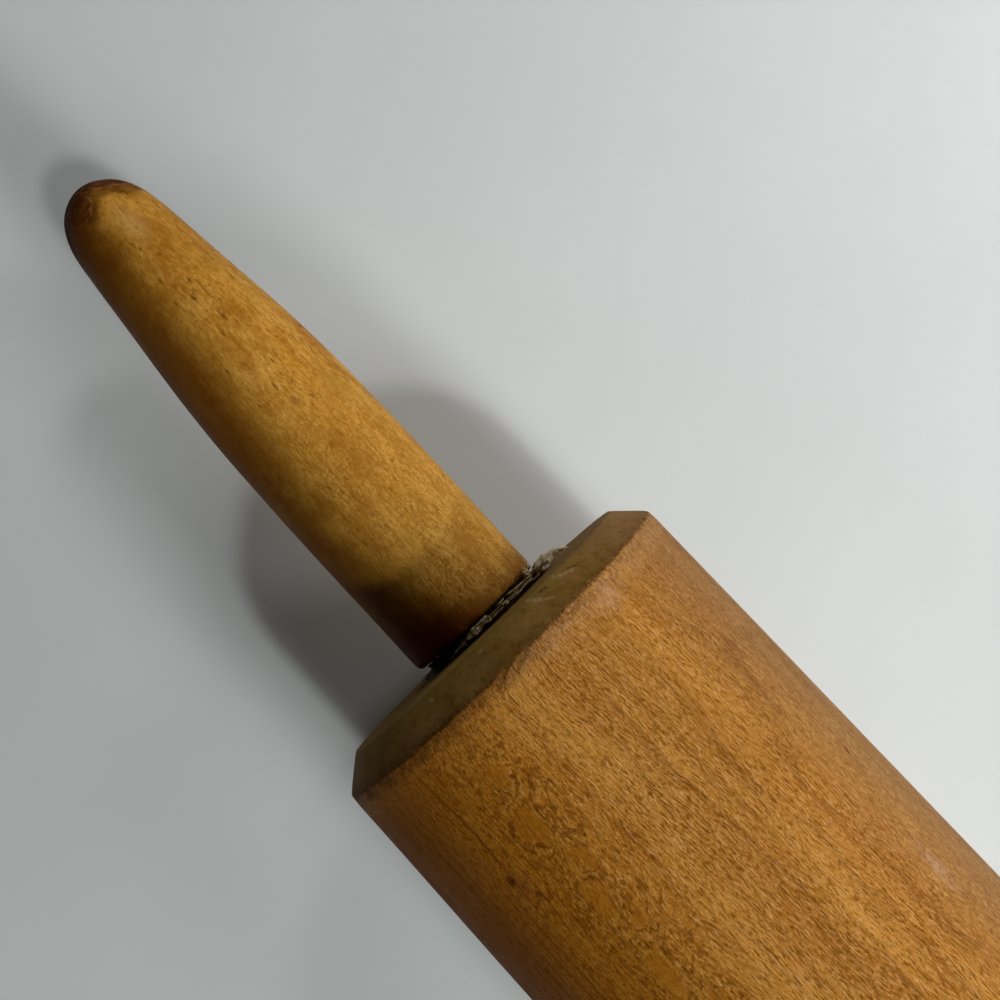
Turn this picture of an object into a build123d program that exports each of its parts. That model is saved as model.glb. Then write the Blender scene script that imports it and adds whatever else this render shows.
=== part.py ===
from build123d import *
import os

os.makedirs("parts", exist_ok=True)

# ---------------------------------------------------------------------------
# Two-handled rolling pin.  Millimetres, +Z up, +X along the turning axis.
# The origin is on the worktop, straight under the middle of the barrel, so
# the turning axis runs parallel to X at the height of the barrel's radius.
# ---------------------------------------------------------------------------

# Barrel: turned hardwood, 2 3/4 in across and 10 in long
barrel_d = 70.0
barrel_len = 254.0
chamfer_radial = 5.0  # the wide bevel round each end, measured towards the axis
chamfer_axial = 4.6  # the same bevel, measured along the axis
body_edge_r = 1.0  # wear where the bevel meets the rolling surface
face_edge_r = 0.5  # wear where the bevel meets the end face
barrel_bore_d = 12.0  # clears the rod between the two bushings

# Rod: plain 3/8 in steel bar that joins the two handles
rod_d = 9.5
rod_in_handle = 58.0  # how deep each rod end sits in its handle
rod_end_chamfer = 0.8
knurl_len = 30.0  # straight grip flutes at each end of the rod
knurl_count = 18
knurl_depth = 0.30
knurl_half_width = 0.35

# Bushing: flanged sleeve pressed into each end of the barrel
running_clearance = 0.05  # radial, rod in bushing
bushing_bore_d = rod_d + 2 * running_clearance
bushing_sleeve_d = 14.0
bushing_flange_d = 20.0
bushing_flange_t = 1.6
bushing_len = 20.0  # over all, flange included
bushing_mouth_chamfer = 0.4

# Washer: flat ring between each handle and the bushing's flange
end_gap = 2.0  # from the barrel's end face to the handle's base
washer_od = 19.0
washer_id = rod_d + 2 * running_clearance
washer_t = 1.5

# Handle: long tapered grip with a blunt rounded tip.  Each pair is the
# distance from the handle's base and the radius there.
handle_len = 107.0
handle_base_r = 13.50
handle_base_round = 1.2
handle_stations = [
    (9.0, 13.56),
    (23.0, 13.68),
    (35.0, 13.72),
    (46.0, 13.62),
    (56.0, 13.28),
    (66.0, 12.64),
    (76.0, 11.70),
    (86.0, 10.72),
]
dome_start = (95.0, 9.84)  # where the taper runs into the rounded tip
dome_slope = 0.105  # radius lost per millimetre there
dome_stations = [
    (99.0, 9.25),
    (101.6, 8.47),
    (104.0, 7.10),
    (105.8, 5.16),
]
handle_bore_d = rod_d
handle_bore_depth = 60.0
drill_point_len = 2.8  # cone left by the drill at the bottom of the bore
handle_mouth_chamfer = 0.6

# ---------------------------------------------------------------------------
# Worked-out positions
# ---------------------------------------------------------------------------
axis_h = barrel_d / 2
half_len = barrel_len / 2
spin_axis = Axis((0, 0, axis_h), (1, 0, 0))
section = Plane.XY.offset(axis_h)  # level plane through the turning axis
barrel_r = barrel_d / 2
end_face_r = barrel_r - chamfer_radial
bore_r = barrel_bore_d / 2
sleeve_r = bushing_sleeve_d / 2
flange_r = bushing_flange_d / 2
rod_r = rod_d / 2
rod_half = half_len + end_gap + rod_in_handle
base_x = -(half_len + end_gap)  # base of the left handle
tip_x = base_x - handle_len

# ---------------------------------------------------------------------------
# Barrel: bevelled cylinder, stepped at each end for the bushing
# ---------------------------------------------------------------------------
with BuildPart() as barrel:
    with BuildSketch(section):
        with BuildLine():
            Polyline(
                (-half_len + bushing_len, bore_r),
                (-half_len + bushing_len, sleeve_r),
                (-half_len + bushing_flange_t, sleeve_r),
                (-half_len + bushing_flange_t, flange_r),
                (-half_len, flange_r),
                (-half_len, end_face_r),
                (-half_len + chamfer_axial, barrel_r),
                (half_len - chamfer_axial, barrel_r),
                (half_len, end_face_r),
                (half_len, flange_r),
                (half_len - bushing_flange_t, flange_r),
                (half_len - bushing_flange_t, sleeve_r),
                (half_len - bushing_len, sleeve_r),
                (half_len - bushing_len, bore_r),
                close=True,
            )
        make_face()
    revolve(axis=spin_axis)
    rims = barrel.edges().filter_by(GeomType.CIRCLE)
    fillet(rims.filter_by(lambda e: abs(e.radius - barrel_r) < 1e-4), body_edge_r)
    rims = barrel.edges().filter_by(GeomType.CIRCLE)
    fillet(rims.filter_by(lambda e: abs(e.radius - end_face_r) < 1e-4), face_edge_r)
barrel.part.label = "barrel"
export_step(barrel.part, "parts/barrel.step")

# ---------------------------------------------------------------------------
# Axle rod: straight bar, bevelled ends, fluted where the handles grip it
# ---------------------------------------------------------------------------
with BuildPart() as axle_rod:
    with BuildSketch(Plane((-rod_half, 0, axis_h), x_dir=(0, 1, 0), z_dir=(1, 0, 0))):
        Circle(rod_r)
    extrude(amount=2 * rod_half)
    chamfer(axle_rod.edges().filter_by(GeomType.CIRCLE), rod_end_chamfer)
    for end_x in (-rod_half, rod_half - knurl_len):
        with BuildSketch(Plane((end_x, 0, axis_h), x_dir=(0, 1, 0), z_dir=(1, 0, 0))):
            with PolarLocations(0, knurl_count):
                with BuildLine():
                    Polyline(
                        (rod_r - knurl_depth, 0),
                        (rod_r + 0.2, knurl_half_width),
                        (rod_r + 0.2, -knurl_half_width),
                        close=True,
                    )
                make_face()
        extrude(amount=knurl_len, mode=Mode.SUBTRACT)
axle_rod.part.label = "axle_rod"
export_step(axle_rod.part, "parts/axle_rod.step")

# ---------------------------------------------------------------------------
# Left bushing: sleeve with a flange that sits flush in the barrel's end
# ---------------------------------------------------------------------------
with BuildPart() as left_bushing:
    with BuildSketch(section):
        with BuildLine():
            Polyline(
                (-half_len, bushing_bore_d / 2 + bushing_mouth_chamfer),
                (-half_len, flange_r),
                (-half_len + bushing_flange_t, flange_r),
                (-half_len + bushing_flange_t, sleeve_r),
                (-half_len + bushing_len, sleeve_r),
                (-half_len + bushing_len, bushing_bore_d / 2 + bushing_mouth_chamfer),
                (-half_len + bushing_len - bushing_mouth_chamfer, bushing_bore_d / 2),
                (-half_len + bushing_mouth_chamfer, bushing_bore_d / 2),
                close=True,
            )
        make_face()
    revolve(axis=spin_axis)
left_bushing.part.label = "left_bushing"
export_step(left_bushing.part, "parts/left_bushing.step")

# Right bushing: the same sleeve turned round for the other end
with BuildPart() as right_bushing:
    mirror(left_bushing.part, about=Plane.YZ)
right_bushing.part.label = "right_bushing"
export_step(right_bushing.part, "parts/right_bushing.step")

# ---------------------------------------------------------------------------
# Left washer: flat ring lying against the handle's base
# ---------------------------------------------------------------------------
with BuildPart() as left_washer:
    with BuildSketch(Plane((base_x, 0, axis_h), x_dir=(0, 1, 0), z_dir=(1, 0, 0))):
        Circle(washer_od / 2)
        Circle(washer_id / 2, mode=Mode.SUBTRACT)
    extrude(amount=washer_t)
    outer = left_washer.edges().filter_by(GeomType.CIRCLE)
    fillet(outer.filter_by(lambda e: abs(e.radius - washer_od / 2) < 1e-4), 0.25)
left_washer.part.label = "left_washer"
export_step(left_washer.part, "parts/left_washer.step")

# Right washer: the same ring against the other handle
with BuildPart() as right_washer:
    mirror(left_washer.part, about=Plane.YZ)
right_washer.part.label = "right_washer"
export_step(right_washer.part, "parts/right_washer.step")

# ---------------------------------------------------------------------------
# Left handle: turned grip, fullest a third of the way out, tapering to a
# domed tip, with a blind bore for the rod
# ---------------------------------------------------------------------------
with BuildPart() as left_handle:
    with BuildSketch(section):
        with BuildLine():
            rim = (base_x - handle_base_round, handle_base_r)
            Line((base_x, 0), (base_x, handle_base_r - handle_base_round))
            RadiusArc(
                (base_x, handle_base_r - handle_base_round),
                rim,
                -handle_base_round,
            )
            shoulder = (base_x - dome_start[0], dome_start[1])
            Spline(
                rim,
                *[(base_x - d, r) for d, r in handle_stations],
                shoulder,
                tangents=((-1, 0.006), (-1, -dome_slope)),
            )
            Spline(
                shoulder,
                *[(base_x - d, r) for d, r in dome_stations],
                (tip_x, 0),
                tangents=((-1, -dome_slope), (0, -1)),
            )
            Line((tip_x, 0), (base_x, 0))
        make_face()
    revolve(axis=spin_axis)
    # blind bore with its drill point and a broken edge at the mouth
    with BuildSketch(section):
        with BuildLine():
            Polyline(
                (base_x + 1.0, 0),
                (base_x + 1.0, handle_bore_d / 2 + handle_mouth_chamfer),
                (base_x, handle_bore_d / 2 + handle_mouth_chamfer),
                (base_x - handle_mouth_chamfer, handle_bore_d / 2),
                (base_x - handle_bore_depth, handle_bore_d / 2),
                (base_x - handle_bore_depth - drill_point_len, 0),
                close=True,
            )
        make_face()
    revolve(axis=spin_axis, mode=Mode.SUBTRACT)
left_handle.part.label = "left_handle"
export_step(left_handle.part, "parts/left_handle.step")

# Right handle: the same turning on the other end of the rod
with BuildPart() as right_handle:
    mirror(left_handle.part, about=Plane.YZ)
right_handle.part.label = "right_handle"
export_step(right_handle.part, "parts/right_handle.step")

print("overall length", 2 * abs(tip_x))
print("rod length", 2 * rod_half)
print("handle radius at full", max(r for d, r in handle_stations))
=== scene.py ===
import math

import bmesh
import bpy
import numpy as np
from mathutils import Matrix, Vector


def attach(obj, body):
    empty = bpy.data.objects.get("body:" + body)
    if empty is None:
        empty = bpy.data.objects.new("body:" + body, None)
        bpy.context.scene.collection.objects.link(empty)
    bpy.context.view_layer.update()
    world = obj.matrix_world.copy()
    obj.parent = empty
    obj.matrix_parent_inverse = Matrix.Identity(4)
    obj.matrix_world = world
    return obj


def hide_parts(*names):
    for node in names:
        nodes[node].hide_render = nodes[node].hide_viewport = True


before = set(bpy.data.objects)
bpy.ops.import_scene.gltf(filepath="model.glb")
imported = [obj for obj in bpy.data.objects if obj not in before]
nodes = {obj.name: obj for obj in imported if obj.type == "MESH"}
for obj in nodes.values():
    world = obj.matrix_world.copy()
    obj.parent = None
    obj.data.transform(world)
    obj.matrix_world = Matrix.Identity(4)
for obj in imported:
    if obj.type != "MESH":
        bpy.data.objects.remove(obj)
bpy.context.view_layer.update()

MM = 0.001
AXIS_H = 35.0  # height of the turning axis, mm
HALF = 127.0  # half the barrel's length, mm
BASE = 129.0  # distance of each handle's base from the middle, mm


# ---------------------------------------------------------------------------
# Noise in numpy, the same on every run
# ---------------------------------------------------------------------------
def lattice(i, j, k, seed):
    h = (
        i.astype(np.int64) * 374761393
        + j.astype(np.int64) * 668265263
        + k.astype(np.int64) * 1274126177
        + seed * 974634777
    ) & 0xFFFFFFFF
    h = ((h ^ (h >> 13)) * 1274126177) & 0xFFFFFFFF
    h = ((h ^ (h >> 16)) * 2246822519) & 0xFFFFFFFF
    h ^= h >> 15
    return (h & 0xFFFFFF) / float(0xFFFFFF) * 2.0 - 1.0


def noise3(p, seed=0):
    """Smooth value noise between -1 and 1 at points p (n x 3)."""
    f = np.floor(p)
    t = p - f
    t = t * t * t * (t * (t * 6 - 15) + 10)
    i, j, k = (f[:, a].astype(np.int64) for a in range(3))
    out = np.zeros(len(p))
    for a in (0, 1):
        for b in (0, 1):
            for c in (0, 1):
                w = (
                    (t[:, 0] if a else 1 - t[:, 0])
                    * (t[:, 1] if b else 1 - t[:, 1])
                    * (t[:, 2] if c else 1 - t[:, 2])
                )
                out += w * lattice(i + a, j + b, k + c, seed)
    return out


def fbm(p, octaves, seed=0, gain=0.5):
    out, amp = np.zeros(len(p)), 1.0
    for o in range(octaves):
        out += amp * noise3(p * 2.0**o + 17.3 * o, seed + o)
        amp *= gain
    return out


def step(a, b, x):
    t = np.clip((x - a) / (b - a), 0, 1)
    return t * t * (3 - 2 * t)


# ---------------------------------------------------------------------------
# Turned meshes
# ---------------------------------------------------------------------------
def turned(name, rows, segs, shift=None, poles=(None, None), loop=False):
    """A mesh of revolution about the turning axis. rows is [(x, r)] in mm, from
    the left tip or bore to the right. shift(x, r, theta, nx, nr) gives how far
    each point moves inwards, along its row's normal. poles are x values closing
    the first and the last row with a fan; loop joins the last row to the first."""
    rows = np.array(rows, float)
    n = len(rows)
    ahead = np.roll(rows, -1, 0) - rows
    back = rows - np.roll(rows, 1, 0)
    if not loop:
        ahead[-1], back[0] = back[-1], ahead[0]
    tang = ahead / np.maximum(np.linalg.norm(ahead, axis=1), 1e-9)[:, None]
    tang = tang + back / np.maximum(np.linalg.norm(back, axis=1), 1e-9)[:, None]
    tang /= np.maximum(np.linalg.norm(tang, axis=1), 1e-9)[:, None]
    nx, nr = -tang[:, 1], tang[:, 0]  # outward for rows that run to +x on the outside
    th = np.arange(segs) * 2 * np.pi / segs
    X = np.repeat(rows[:, 0], segs)
    Rr = np.repeat(rows[:, 1], segs)
    T = np.tile(th, n)
    NX, NR = np.repeat(nx, segs), np.repeat(nr, segs)
    if shift is not None:
        d = shift(X, Rr, T, NX, NR)
        X = X - d * NX
        Rr = Rr - d * NR
    co = np.stack([X, Rr * np.sin(T), Rr * np.cos(T) + AXIS_H], 1)
    faces = []
    last = n if loop else n - 1
    for a in range(last):
        b = (a + 1) % n
        ia, ib = a * segs, b * segs
        s = np.arange(segs)
        s2 = (s + 1) % segs
        faces.append(np.stack([ia + s, ib + s, ib + s2, ia + s2], 1))
    quads = np.concatenate(faces)
    tris = []
    if poles[0] is not None:
        co = np.vstack([co, [[poles[0], 0, AXIS_H]]])
        p = len(co) - 1
        s = np.arange(segs)
        tris.append(np.stack([np.full(segs, p), s, (s + 1) % segs], 1))
    if poles[1] is not None:
        co = np.vstack([co, [[poles[1], 0, AXIS_H]]])
        p = len(co) - 1
        s = (n - 1) * segs + np.arange(segs)
        s2 = (n - 1) * segs + (np.arange(segs) + 1) % segs
        tris.append(np.stack([np.full(segs, p), s2, s], 1))
    polys = quads[:, ::-1].tolist() + [t[::-1] for a in tris for t in a.tolist()]
    me = bpy.data.meshes.new(name)
    me.from_pydata((co * MM).tolist(), [], polys)
    me.polygons.foreach_set("use_smooth", np.ones(len(me.polygons), bool))
    me.update()
    ob = bpy.data.objects.new(name, me)
    bpy.context.scene.collection.objects.link(ob)
    return ob, co


def fillet2(p0, p1, p2, r, n):
    """Points of a round of radius r at the corner p1 of the run p0-p1-p2."""
    p0, p1, p2 = (np.array(p, float) for p in (p0, p1, p2))
    a = (p0 - p1) / np.linalg.norm(p0 - p1)
    b = (p2 - p1) / np.linalg.norm(p2 - p1)
    half = math.acos(float(np.clip(a @ b, -1, 1))) / 2
    c = p1 + (a + b) / np.linalg.norm(a + b) * r / math.sin(half)
    s, e = p1 + a * r / math.tan(half), p1 + b * r / math.tan(half)
    a0 = math.atan2(*(s - c)[::-1])
    a1 = math.atan2(*(e - c)[::-1])
    d = (a1 - a0 + math.pi) % (2 * math.pi) - math.pi
    return [
        (c[0] + r * math.cos(a0 + d * t), c[1] + r * math.sin(a0 + d * t))
        for t in np.linspace(0, 1, n)
    ]


def run(a, b, n):
    """n points from a to b, without the first."""
    return [
        (a[0] + (b[0] - a[0]) * t, a[1] + (b[1] - a[1]) * t)
        for t in np.linspace(0, 1, n + 1)[1:]
    ]


def put(me, name, values):
    at = me.attributes.new(name, "FLOAT", "POINT")
    at.data.foreach_set("value", np.asarray(values, np.float32))


def polar(co):
    """theta in degrees from straight up towards +Y, and the distance from the axis."""
    y, z = co[:, 1], co[:, 2] - AXIS_H
    return np.degrees(np.arctan2(y, z)), np.hypot(y, z)


def arc(theta, at):
    return (theta - at + 180) % 360 - 180


# ---------------------------------------------------------------------------
# Barrel
# ---------------------------------------------------------------------------
R = 35.0
corner_face = (-HALF, 30.0)
corner_body = (-HALF + 4.6, R)
end_rows = [(-HALF, r) for r in (10.0, 10.5, 11.5, 12.8, 14.2, 15.6, 17, 19, 21, 23, 25, 27, 28.6)]
face_round = fillet2((-HALF, 10), corner_face, corner_body, 0.5, 4)
body_round = fillet2(corner_face, corner_body, (0, R), 1.0, 6)
left = end_rows + face_round
left += run(face_round[-1], body_round[0], 15)[:-1] + body_round
left += run(body_round[-1], (-118.0, R), 9)
body = run((-118.0, R), (118.0, R), 196)
right = [(-x, r) for x, r in left[::-1]]
bore = run((HALF, 10), (HALF - 1.6, 10), 2) + run((HALF - 1.6, 10), (HALF - 1.6, 7), 2)
bore += run((HALF - 1.6, 7), (107, 7), 3) + [(107, 6)]
bore_back = [(-x, r) for x, r in bore[::-1]]
bore += run((107, 6), (-107, 6), 6)[:-1] + bore_back[:-1] + [(-HALF, 10)]
barrel_rows = left + body[:-1] + right + bore[:-1]

# Dents and nicks in the rolling surface: x, theta, depth, reach along x, reach round
dents = [
    (-77.8, 50.1, 0.28, 1.0, 0.9),
    (-101.1, -36.2, 0.22, 1.1, 0.8),
    (-62.9, 44.5, 0.10, 3.4, 1.6),
    (-40.0, 20.0, 0.20, 3.0, 2.0),
    (-9.0, -12.0, 0.24, 2.4, 1.6),
    (22.0, 38.0, 0.20, 2.0, 3.0),
    (57.0, -55.0, 0.26, 3.0, 1.8),
    (84.0, 12.0, 0.22, 1.6, 2.4),
    (101.0, 70.0, 0.24, 2.2, 1.4),
    (-60.0, 140.0, 0.24, 2.6, 2.0),
    (35.0, -130.0, 0.26, 3.2, 1.8),
    (3.0, 95.0, 0.20, 2.0, 1.6),
    (70.0, 160.0, 0.22, 2.4, 2.4),
    (-30.0, -95.0, 0.22, 3.0, 1.4),
]


def barrel_shift(x, r, t, nx, nr):
    p = np.stack([x, r * np.sin(t), r * np.cos(t)], 1)
    th = np.degrees(t)
    outside = (r > 10.2).astype(float)
    body_part = step(33.4, 34.9, r)
    d = 0.05 + 0.035 * fbm(p / 22.0, 3, 5)  # a surface that is no longer quite true
    d = d + 0.02 * np.maximum(fbm(p * [1 / 6.0, 1 / 1.1, 1 / 1.1], 2, 9), 0) * body_part
    for dx, dt, depth, rx, rs in dents:
        q = ((x - dx) / rx) ** 2 + (np.radians(arc(th, dt)) * R / rs) ** 2
        d = d + depth * np.exp(-q * 1.6) * body_part
    # the corner between bevel and rolling surface is chipped and worn
    edge = np.exp(-(((np.abs(x) - 122.0) / 0.9) ** 2)) * step(32.0, 34.3, r)
    chips = np.maximum(fbm(p * [1 / 3.0, 1 / 1.3, 1 / 1.3], 3, 21) - 0.15, 0)
    bites = np.maximum(noise3(p / 4.0, 33) - 0.40, 0)
    d = d + edge * (0.10 + 0.55 * chips + 0.75 * bites)
    # the corner between bevel and end face
    edge2 = np.exp(-(((r - 30.0) / 0.6) ** 2)) * (nx**2 > 0.3)
    d = d + edge2 * (0.04 + 0.25 * np.maximum(noise3(p / 3.0, 40), 0))
    # faint turning marks and knocks on the end face and bevel
    face = (np.abs(nx) > 0.5) & (r > 10.2)
    d = d + face * (0.03 * np.maximum(fbm(p / 2.6, 3, 50), 0) + 0.02)
    return np.maximum(d, 0.0) * outside


barrel, co = turned("barrel_wood", barrel_rows, 300, barrel_shift, loop=True)
th, rad = polar(co)
p = np.stack([co[:, 0], co[:, 1], co[:, 2] - AXIS_H], 1)
# 0 on the rolling surface, 1 on bevel and end face, with the boundary wandering
jag = 0.34 * fbm(p * [0.5, 1 / 1.5, 1 / 1.5], 3, 61, 0.7) + 0.16 * noise3(p * [0, 1 / 6.0, 1 / 6.0], 66)
put(barrel.data, "bevel", np.clip(0.5 + (np.abs(co[:, 0]) - 122.5 + jag) / 2.0, 0, 1))
put(barrel.data, "face", step(126.2, 126.8, np.abs(co[:, 0])) * step(30.6, 29.8, rad))

# ---------------------------------------------------------------------------
# Handles
# ---------------------------------------------------------------------------
profile = np.array(
    [
        (1.2, 13.50), (5, 13.53), (12, 13.59), (20, 13.66), (28, 13.705), (35, 13.72),
        (43, 13.66), (50, 13.52), (55, 13.33), (60, 13.06), (65, 12.71), (70, 12.29),
        (75, 11.81), (80, 11.30), (85, 10.82), (90, 10.34), (93, 10.04), (95, 9.84),
        (97, 9.60), (99, 9.25), (101, 8.69), (103, 7.79), (104, 7.10), (105, 6.15),
        (106, 4.87), (106.5, 3.95), (106.8, 2.95),
    ]
)


def smooth_profile(n):
    """Evenly spaced points along the grip's outline, from near the tip to the base."""
    pts = np.vstack([profile, [107.0, 0.0]])
    s = np.concatenate([[0], np.cumsum(np.hypot(*np.diff(pts, axis=0).T))])
    out = []
    for c in (0, 1):
        y = pts[:, c]
        m = np.gradient(y, s)
        m[0] = (y[1] - y[0]) / (s[1] - s[0])
        u = np.linspace(0, s[-1], n)
        k = np.clip(np.searchsorted(s, u) - 1, 0, len(s) - 2)
        h = s[k + 1] - s[k]
        t = (u - s[k]) / h
        out.append(
            (2 * t**3 - 3 * t**2 + 1) * y[k]
            + (t**3 - 2 * t**2 + t) * h * m[k]
            + (-2 * t**3 + 3 * t**2) * y[k + 1]
            + (t**3 - t**2) * h * m[k + 1]
        )
    d, r = out
    for _ in range(3):  # ease the joints between the table's points
        d[1:-1] = (d[:-2] + 2 * d[1:-1] + d[2:]) / 4
        r[1:-1] = (r[:-2] + 2 * r[1:-1] + r[2:]) / 4
    return d[::-1], r[::-1]


gd, gr = smooth_profile(262)
outline = [(-BASE - d, r) for d, r in zip(gd[1:], gr[1:])]
outline += fillet2((-BASE - 5, 13.50), (-BASE, 13.50), (-BASE, 5), 1.2, 7)[1:]
outline += run((-BASE, 12.3), (-BASE, 5.35), 8)
outline += run((-BASE, 5.35), (-BASE - 0.6, 4.75), 2)
outline += run((-BASE - 0.6, 4.75), (-BASE - 60, 4.75), 6)
outline += run((-BASE - 60, 4.75), (-BASE - 62, 1.35), 2)

# Nicks in the left grip: distance from the base, theta, depth, reach along, reach round
nicks = {
    "left": [
        (60.4, 70.9, 0.22, 1.1, 0.5), (22.1, 66.5, 0.24, 0.9, 0.5), (83.3, 12.2, 0.12, 0.5, 0.4),
        (72.7, 6.9, 0.14, 1.0, 0.35), (67.0, 14.3, 0.18, 1.5, 0.4), (64.7, 5.1, 0.16, 1.3, 0.35),
        (29.1, 32.8, 0.18, 0.6, 0.5), (20.6, 27.3, 0.12, 0.5, 0.4), (47.3, 9.5, 0.10, 1.2, 1.0),
        (74.0, 50.8, 0.12, 2.4, 0.3), (98.0, -20.0, 0.20, 1.6, 1.8), (101.5, 40.0, 0.16, 1.4, 1.6),
        (40.0, 150.0, 0.20, 2.0, 1.2), (62.0, -120.0, 0.18, 1.4, 1.6), (15.0, 110.0, 0.20, 1.6, 1.2),
    ],
    "right": [
        (88.0, 24.0, 0.18, 1.4, 0.6), (64.0, -18.0, 0.20, 1.8, 0.5), (41.0, 33.0, 0.16, 1.2, 0.9),
        (30.0, -40.0, 0.20, 0.8, 0.6), (12.0, 10.0, 0.16, 0.8, 0.8), (76.0, 60.0, 0.16, 2.0, 0.4),
        (99.0, 0.0, 0.20, 1.8, 1.6), (54.0, 140.0, 0.20, 2.0, 1.2), (25.0, -130.0, 0.22, 1.4, 1.4),
    ],
}


def make_handle(side):
    seed = 100 if side == "left" else 300

    def shift(x, r, t, nx, nr):
        p = np.stack([x, r * np.sin(t), r * np.cos(t)], 1)
        d_base = -BASE - x
        wall = (r > 5.6) & ((r > 12.2) | (d_base > 60)) | (np.abs(nx) > 0.5) & (r > 5.6)
        d = 0.05 + 0.045 * fbm(p / 14.0, 2, seed)
        d = d + 0.018 * np.maximum(fbm(p * [1 / 4.0, 1 / 1.3, 1 / 1.3], 2, seed + 5), 0)
        # shallow flats left by years of sanding and grip
        d = d + 0.05 * (0.5 + 0.5 * np.cos(3 * t + d_base / 30.0 + seed)) * step(3, 12, d_base)
        for dd, dt, depth, rx, rs in nicks[side]:
            rr = np.maximum(r, 1.0)
            q = ((d_base - dd) / rx) ** 2 + (np.radians(arc(np.degrees(t), dt)) * rr / rs) ** 2
            d = d + depth * np.exp(-q * 1.8)
        # flats where the tip was cut back and rubbed
        for ax_, ay_, az_, h_ in ((-0.62, 0.42, 0.66, 9.72), (-0.50, -0.42, 0.76, 9.62), (-0.80, -0.10, 0.59, 9.98), (-0.72, 0.60, -0.35, 9.8), (-0.66, -0.74, 0.1, 9.7)):
            over = (x + BASE + 97.0) * ax_ + p[:, 1] * ay_ + p[:, 2] * az_ - h_
            d = d + np.clip(over, 0, 0.45)
        # knocked rim at the base
        rim = np.exp(-((d_base - 0.5) / 0.8) ** 2) * (r > 12.0)
        d = d + rim * 0.30 * np.maximum(fbm(p / 2.2, 2, seed + 9), 0)
        return np.maximum(d, 0) * wall

    ob, co = turned(
        side + "_grip",
        outline,
        236,
        shift,
        poles=(-BASE - 107.0 + 0.06, -BASE - 62.6),
    )
    if side == "right":
        co = co * [-1, 1, 1]
        me = ob.data
        me.vertices.foreach_set("co", (co * MM).ravel())
        me.flip_normals()
        me.update()
    return ob, co


grips = {}
for side in ("left", "right"):
    grips[side], co = make_handle(side)
    th, rad = polar(co)
    d = np.abs(co[:, 0]) - BASE
    # millimetres inside the dark end: positive within, negative on the clean grip
    a_ = th if side == "left" else arc(th, -150.0)
    start = 99.3 - 3.6 * np.exp(-(((a_ + 10) / 11.0) ** 2)) - 1.6 * np.exp(-(((a_ - 40) / 16.0) ** 2))
    start = start - 4.5 * step(-40, -62, a_) * step(-150, -110, a_)
    put(grips[side].data, "tip_stain", d - start)

# ---------------------------------------------------------------------------
# Dried dough and flour packed into the gap, on the barrel's end faces
# ---------------------------------------------------------------------------
def near(t, x, path, width, ragged):
    """1 on a path of (theta, depth) points fading to 0 at width mm from it."""
    path = np.array(path, float)
    mid = np.interp(t, path[:, 0], path[:, 1])
    ends = np.maximum(path[0, 0] - t, t - path[-1, 0]) * 0.25
    q = np.hypot((x - mid + 0.12 * ragged) / width, np.maximum(ends, 0) / width)
    return step(1.15, 0.55, q + 0.35 * ragged)


def packed(name, out, lo, hi, plates, strands, seed):
    """A crumbling ring between theta lo and hi. plates and strands stand out of it:
    (theta from, to, depth from, to, radius, tone) and (path, width, radius, tone)."""
    nt, nx = int((hi - lo) / 0.42), 27
    T, X = np.meshgrid(np.linspace(lo, hi, nt), np.linspace(0.04, 1.86, nx), indexing="ij")
    t, x = T.ravel(), X.ravel()
    arcl = np.radians(t) * 13.5
    q = np.stack([arcl, x * 1.6, np.full(len(t), seed * 7.7)], 1)
    rag = fbm(q / 1.3, 3, seed, 0.45)
    ends = step(0, 7, np.minimum(t - lo, hi - t))
    r = 10.4 + ends * (1.1 + 0.7 * fbm(q / 1.8, 3, seed + 4))
    tone = 0.10 + 0.14 * np.maximum(rag, 0)
    for t0, t1, x0, x1, rr, k in plates:
        inside = np.minimum.reduce([
            (t - t0) * 0.235, (t1 - t) * 0.235, (x - x0) * 1.0, (x1 - x) * 1.0
        ]) + 0.16 * rag
        w = step(-0.02, 0.10, inside)
        lip = np.exp(-((inside - 0.10) / 0.09) ** 2)
        top = rr + 0.22 * fbm(q / 1.4, 2, seed + 8) + 0.30 * lip
        r = r + (top - r) * w
        tone = tone + (k + 0.45 * lip + 0.25 * rag - tone) * w
    for path, width, rr, k in strands:
        w = near(t, x, path, width, rag)
        w = w * step(-0.85, -0.50, noise3(np.stack([arcl / 1.1, np.zeros(len(t)), np.full(len(t), seed + 3.0 + rr)], 1), seed + 11))
        top = rr + 0.25 * rag
        r = r + (top - r) * w
        tone = tone + (k + 0.25 * rag - tone) * w
    r = np.clip(r, 10.2, np.where(x > 1.82, 13.3, 99.0))
    th = np.radians(t)
    v = [np.stack([out * (HALF + x), r * np.sin(th), r * np.cos(th) + AXIS_H], 1)]
    inner = 9.85
    v.append(np.stack([out * (HALF + x), inner * np.sin(th), inner * np.cos(th) + AXIS_H], 1))
    n = nt * nx
    f = []
    for i in range(nt - 1):
        for j in range(nx - 1):
            a, b_, c, d = i * nx + j, (i + 1) * nx + j, (i + 1) * nx + j + 1, i * nx + j + 1
            f.append((a, b_, c, d))
            f.append((n + d, n + c, n + b_, n + a))
    ring = [i * nx for i in range(nt)] + [(nt - 1) * nx + j for j in range(1, nx)]
    ring += [i * nx + nx - 1 for i in range(nt - 2, -1, -1)] + list(range(nx - 2, 0, -1))
    for a, b_ in zip(ring, ring[1:] + ring[:1]):
        f.append((b_, a, n + a, n + b_))
    return np.vstack(v), f, np.concatenate([tone, np.zeros(n)])


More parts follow.
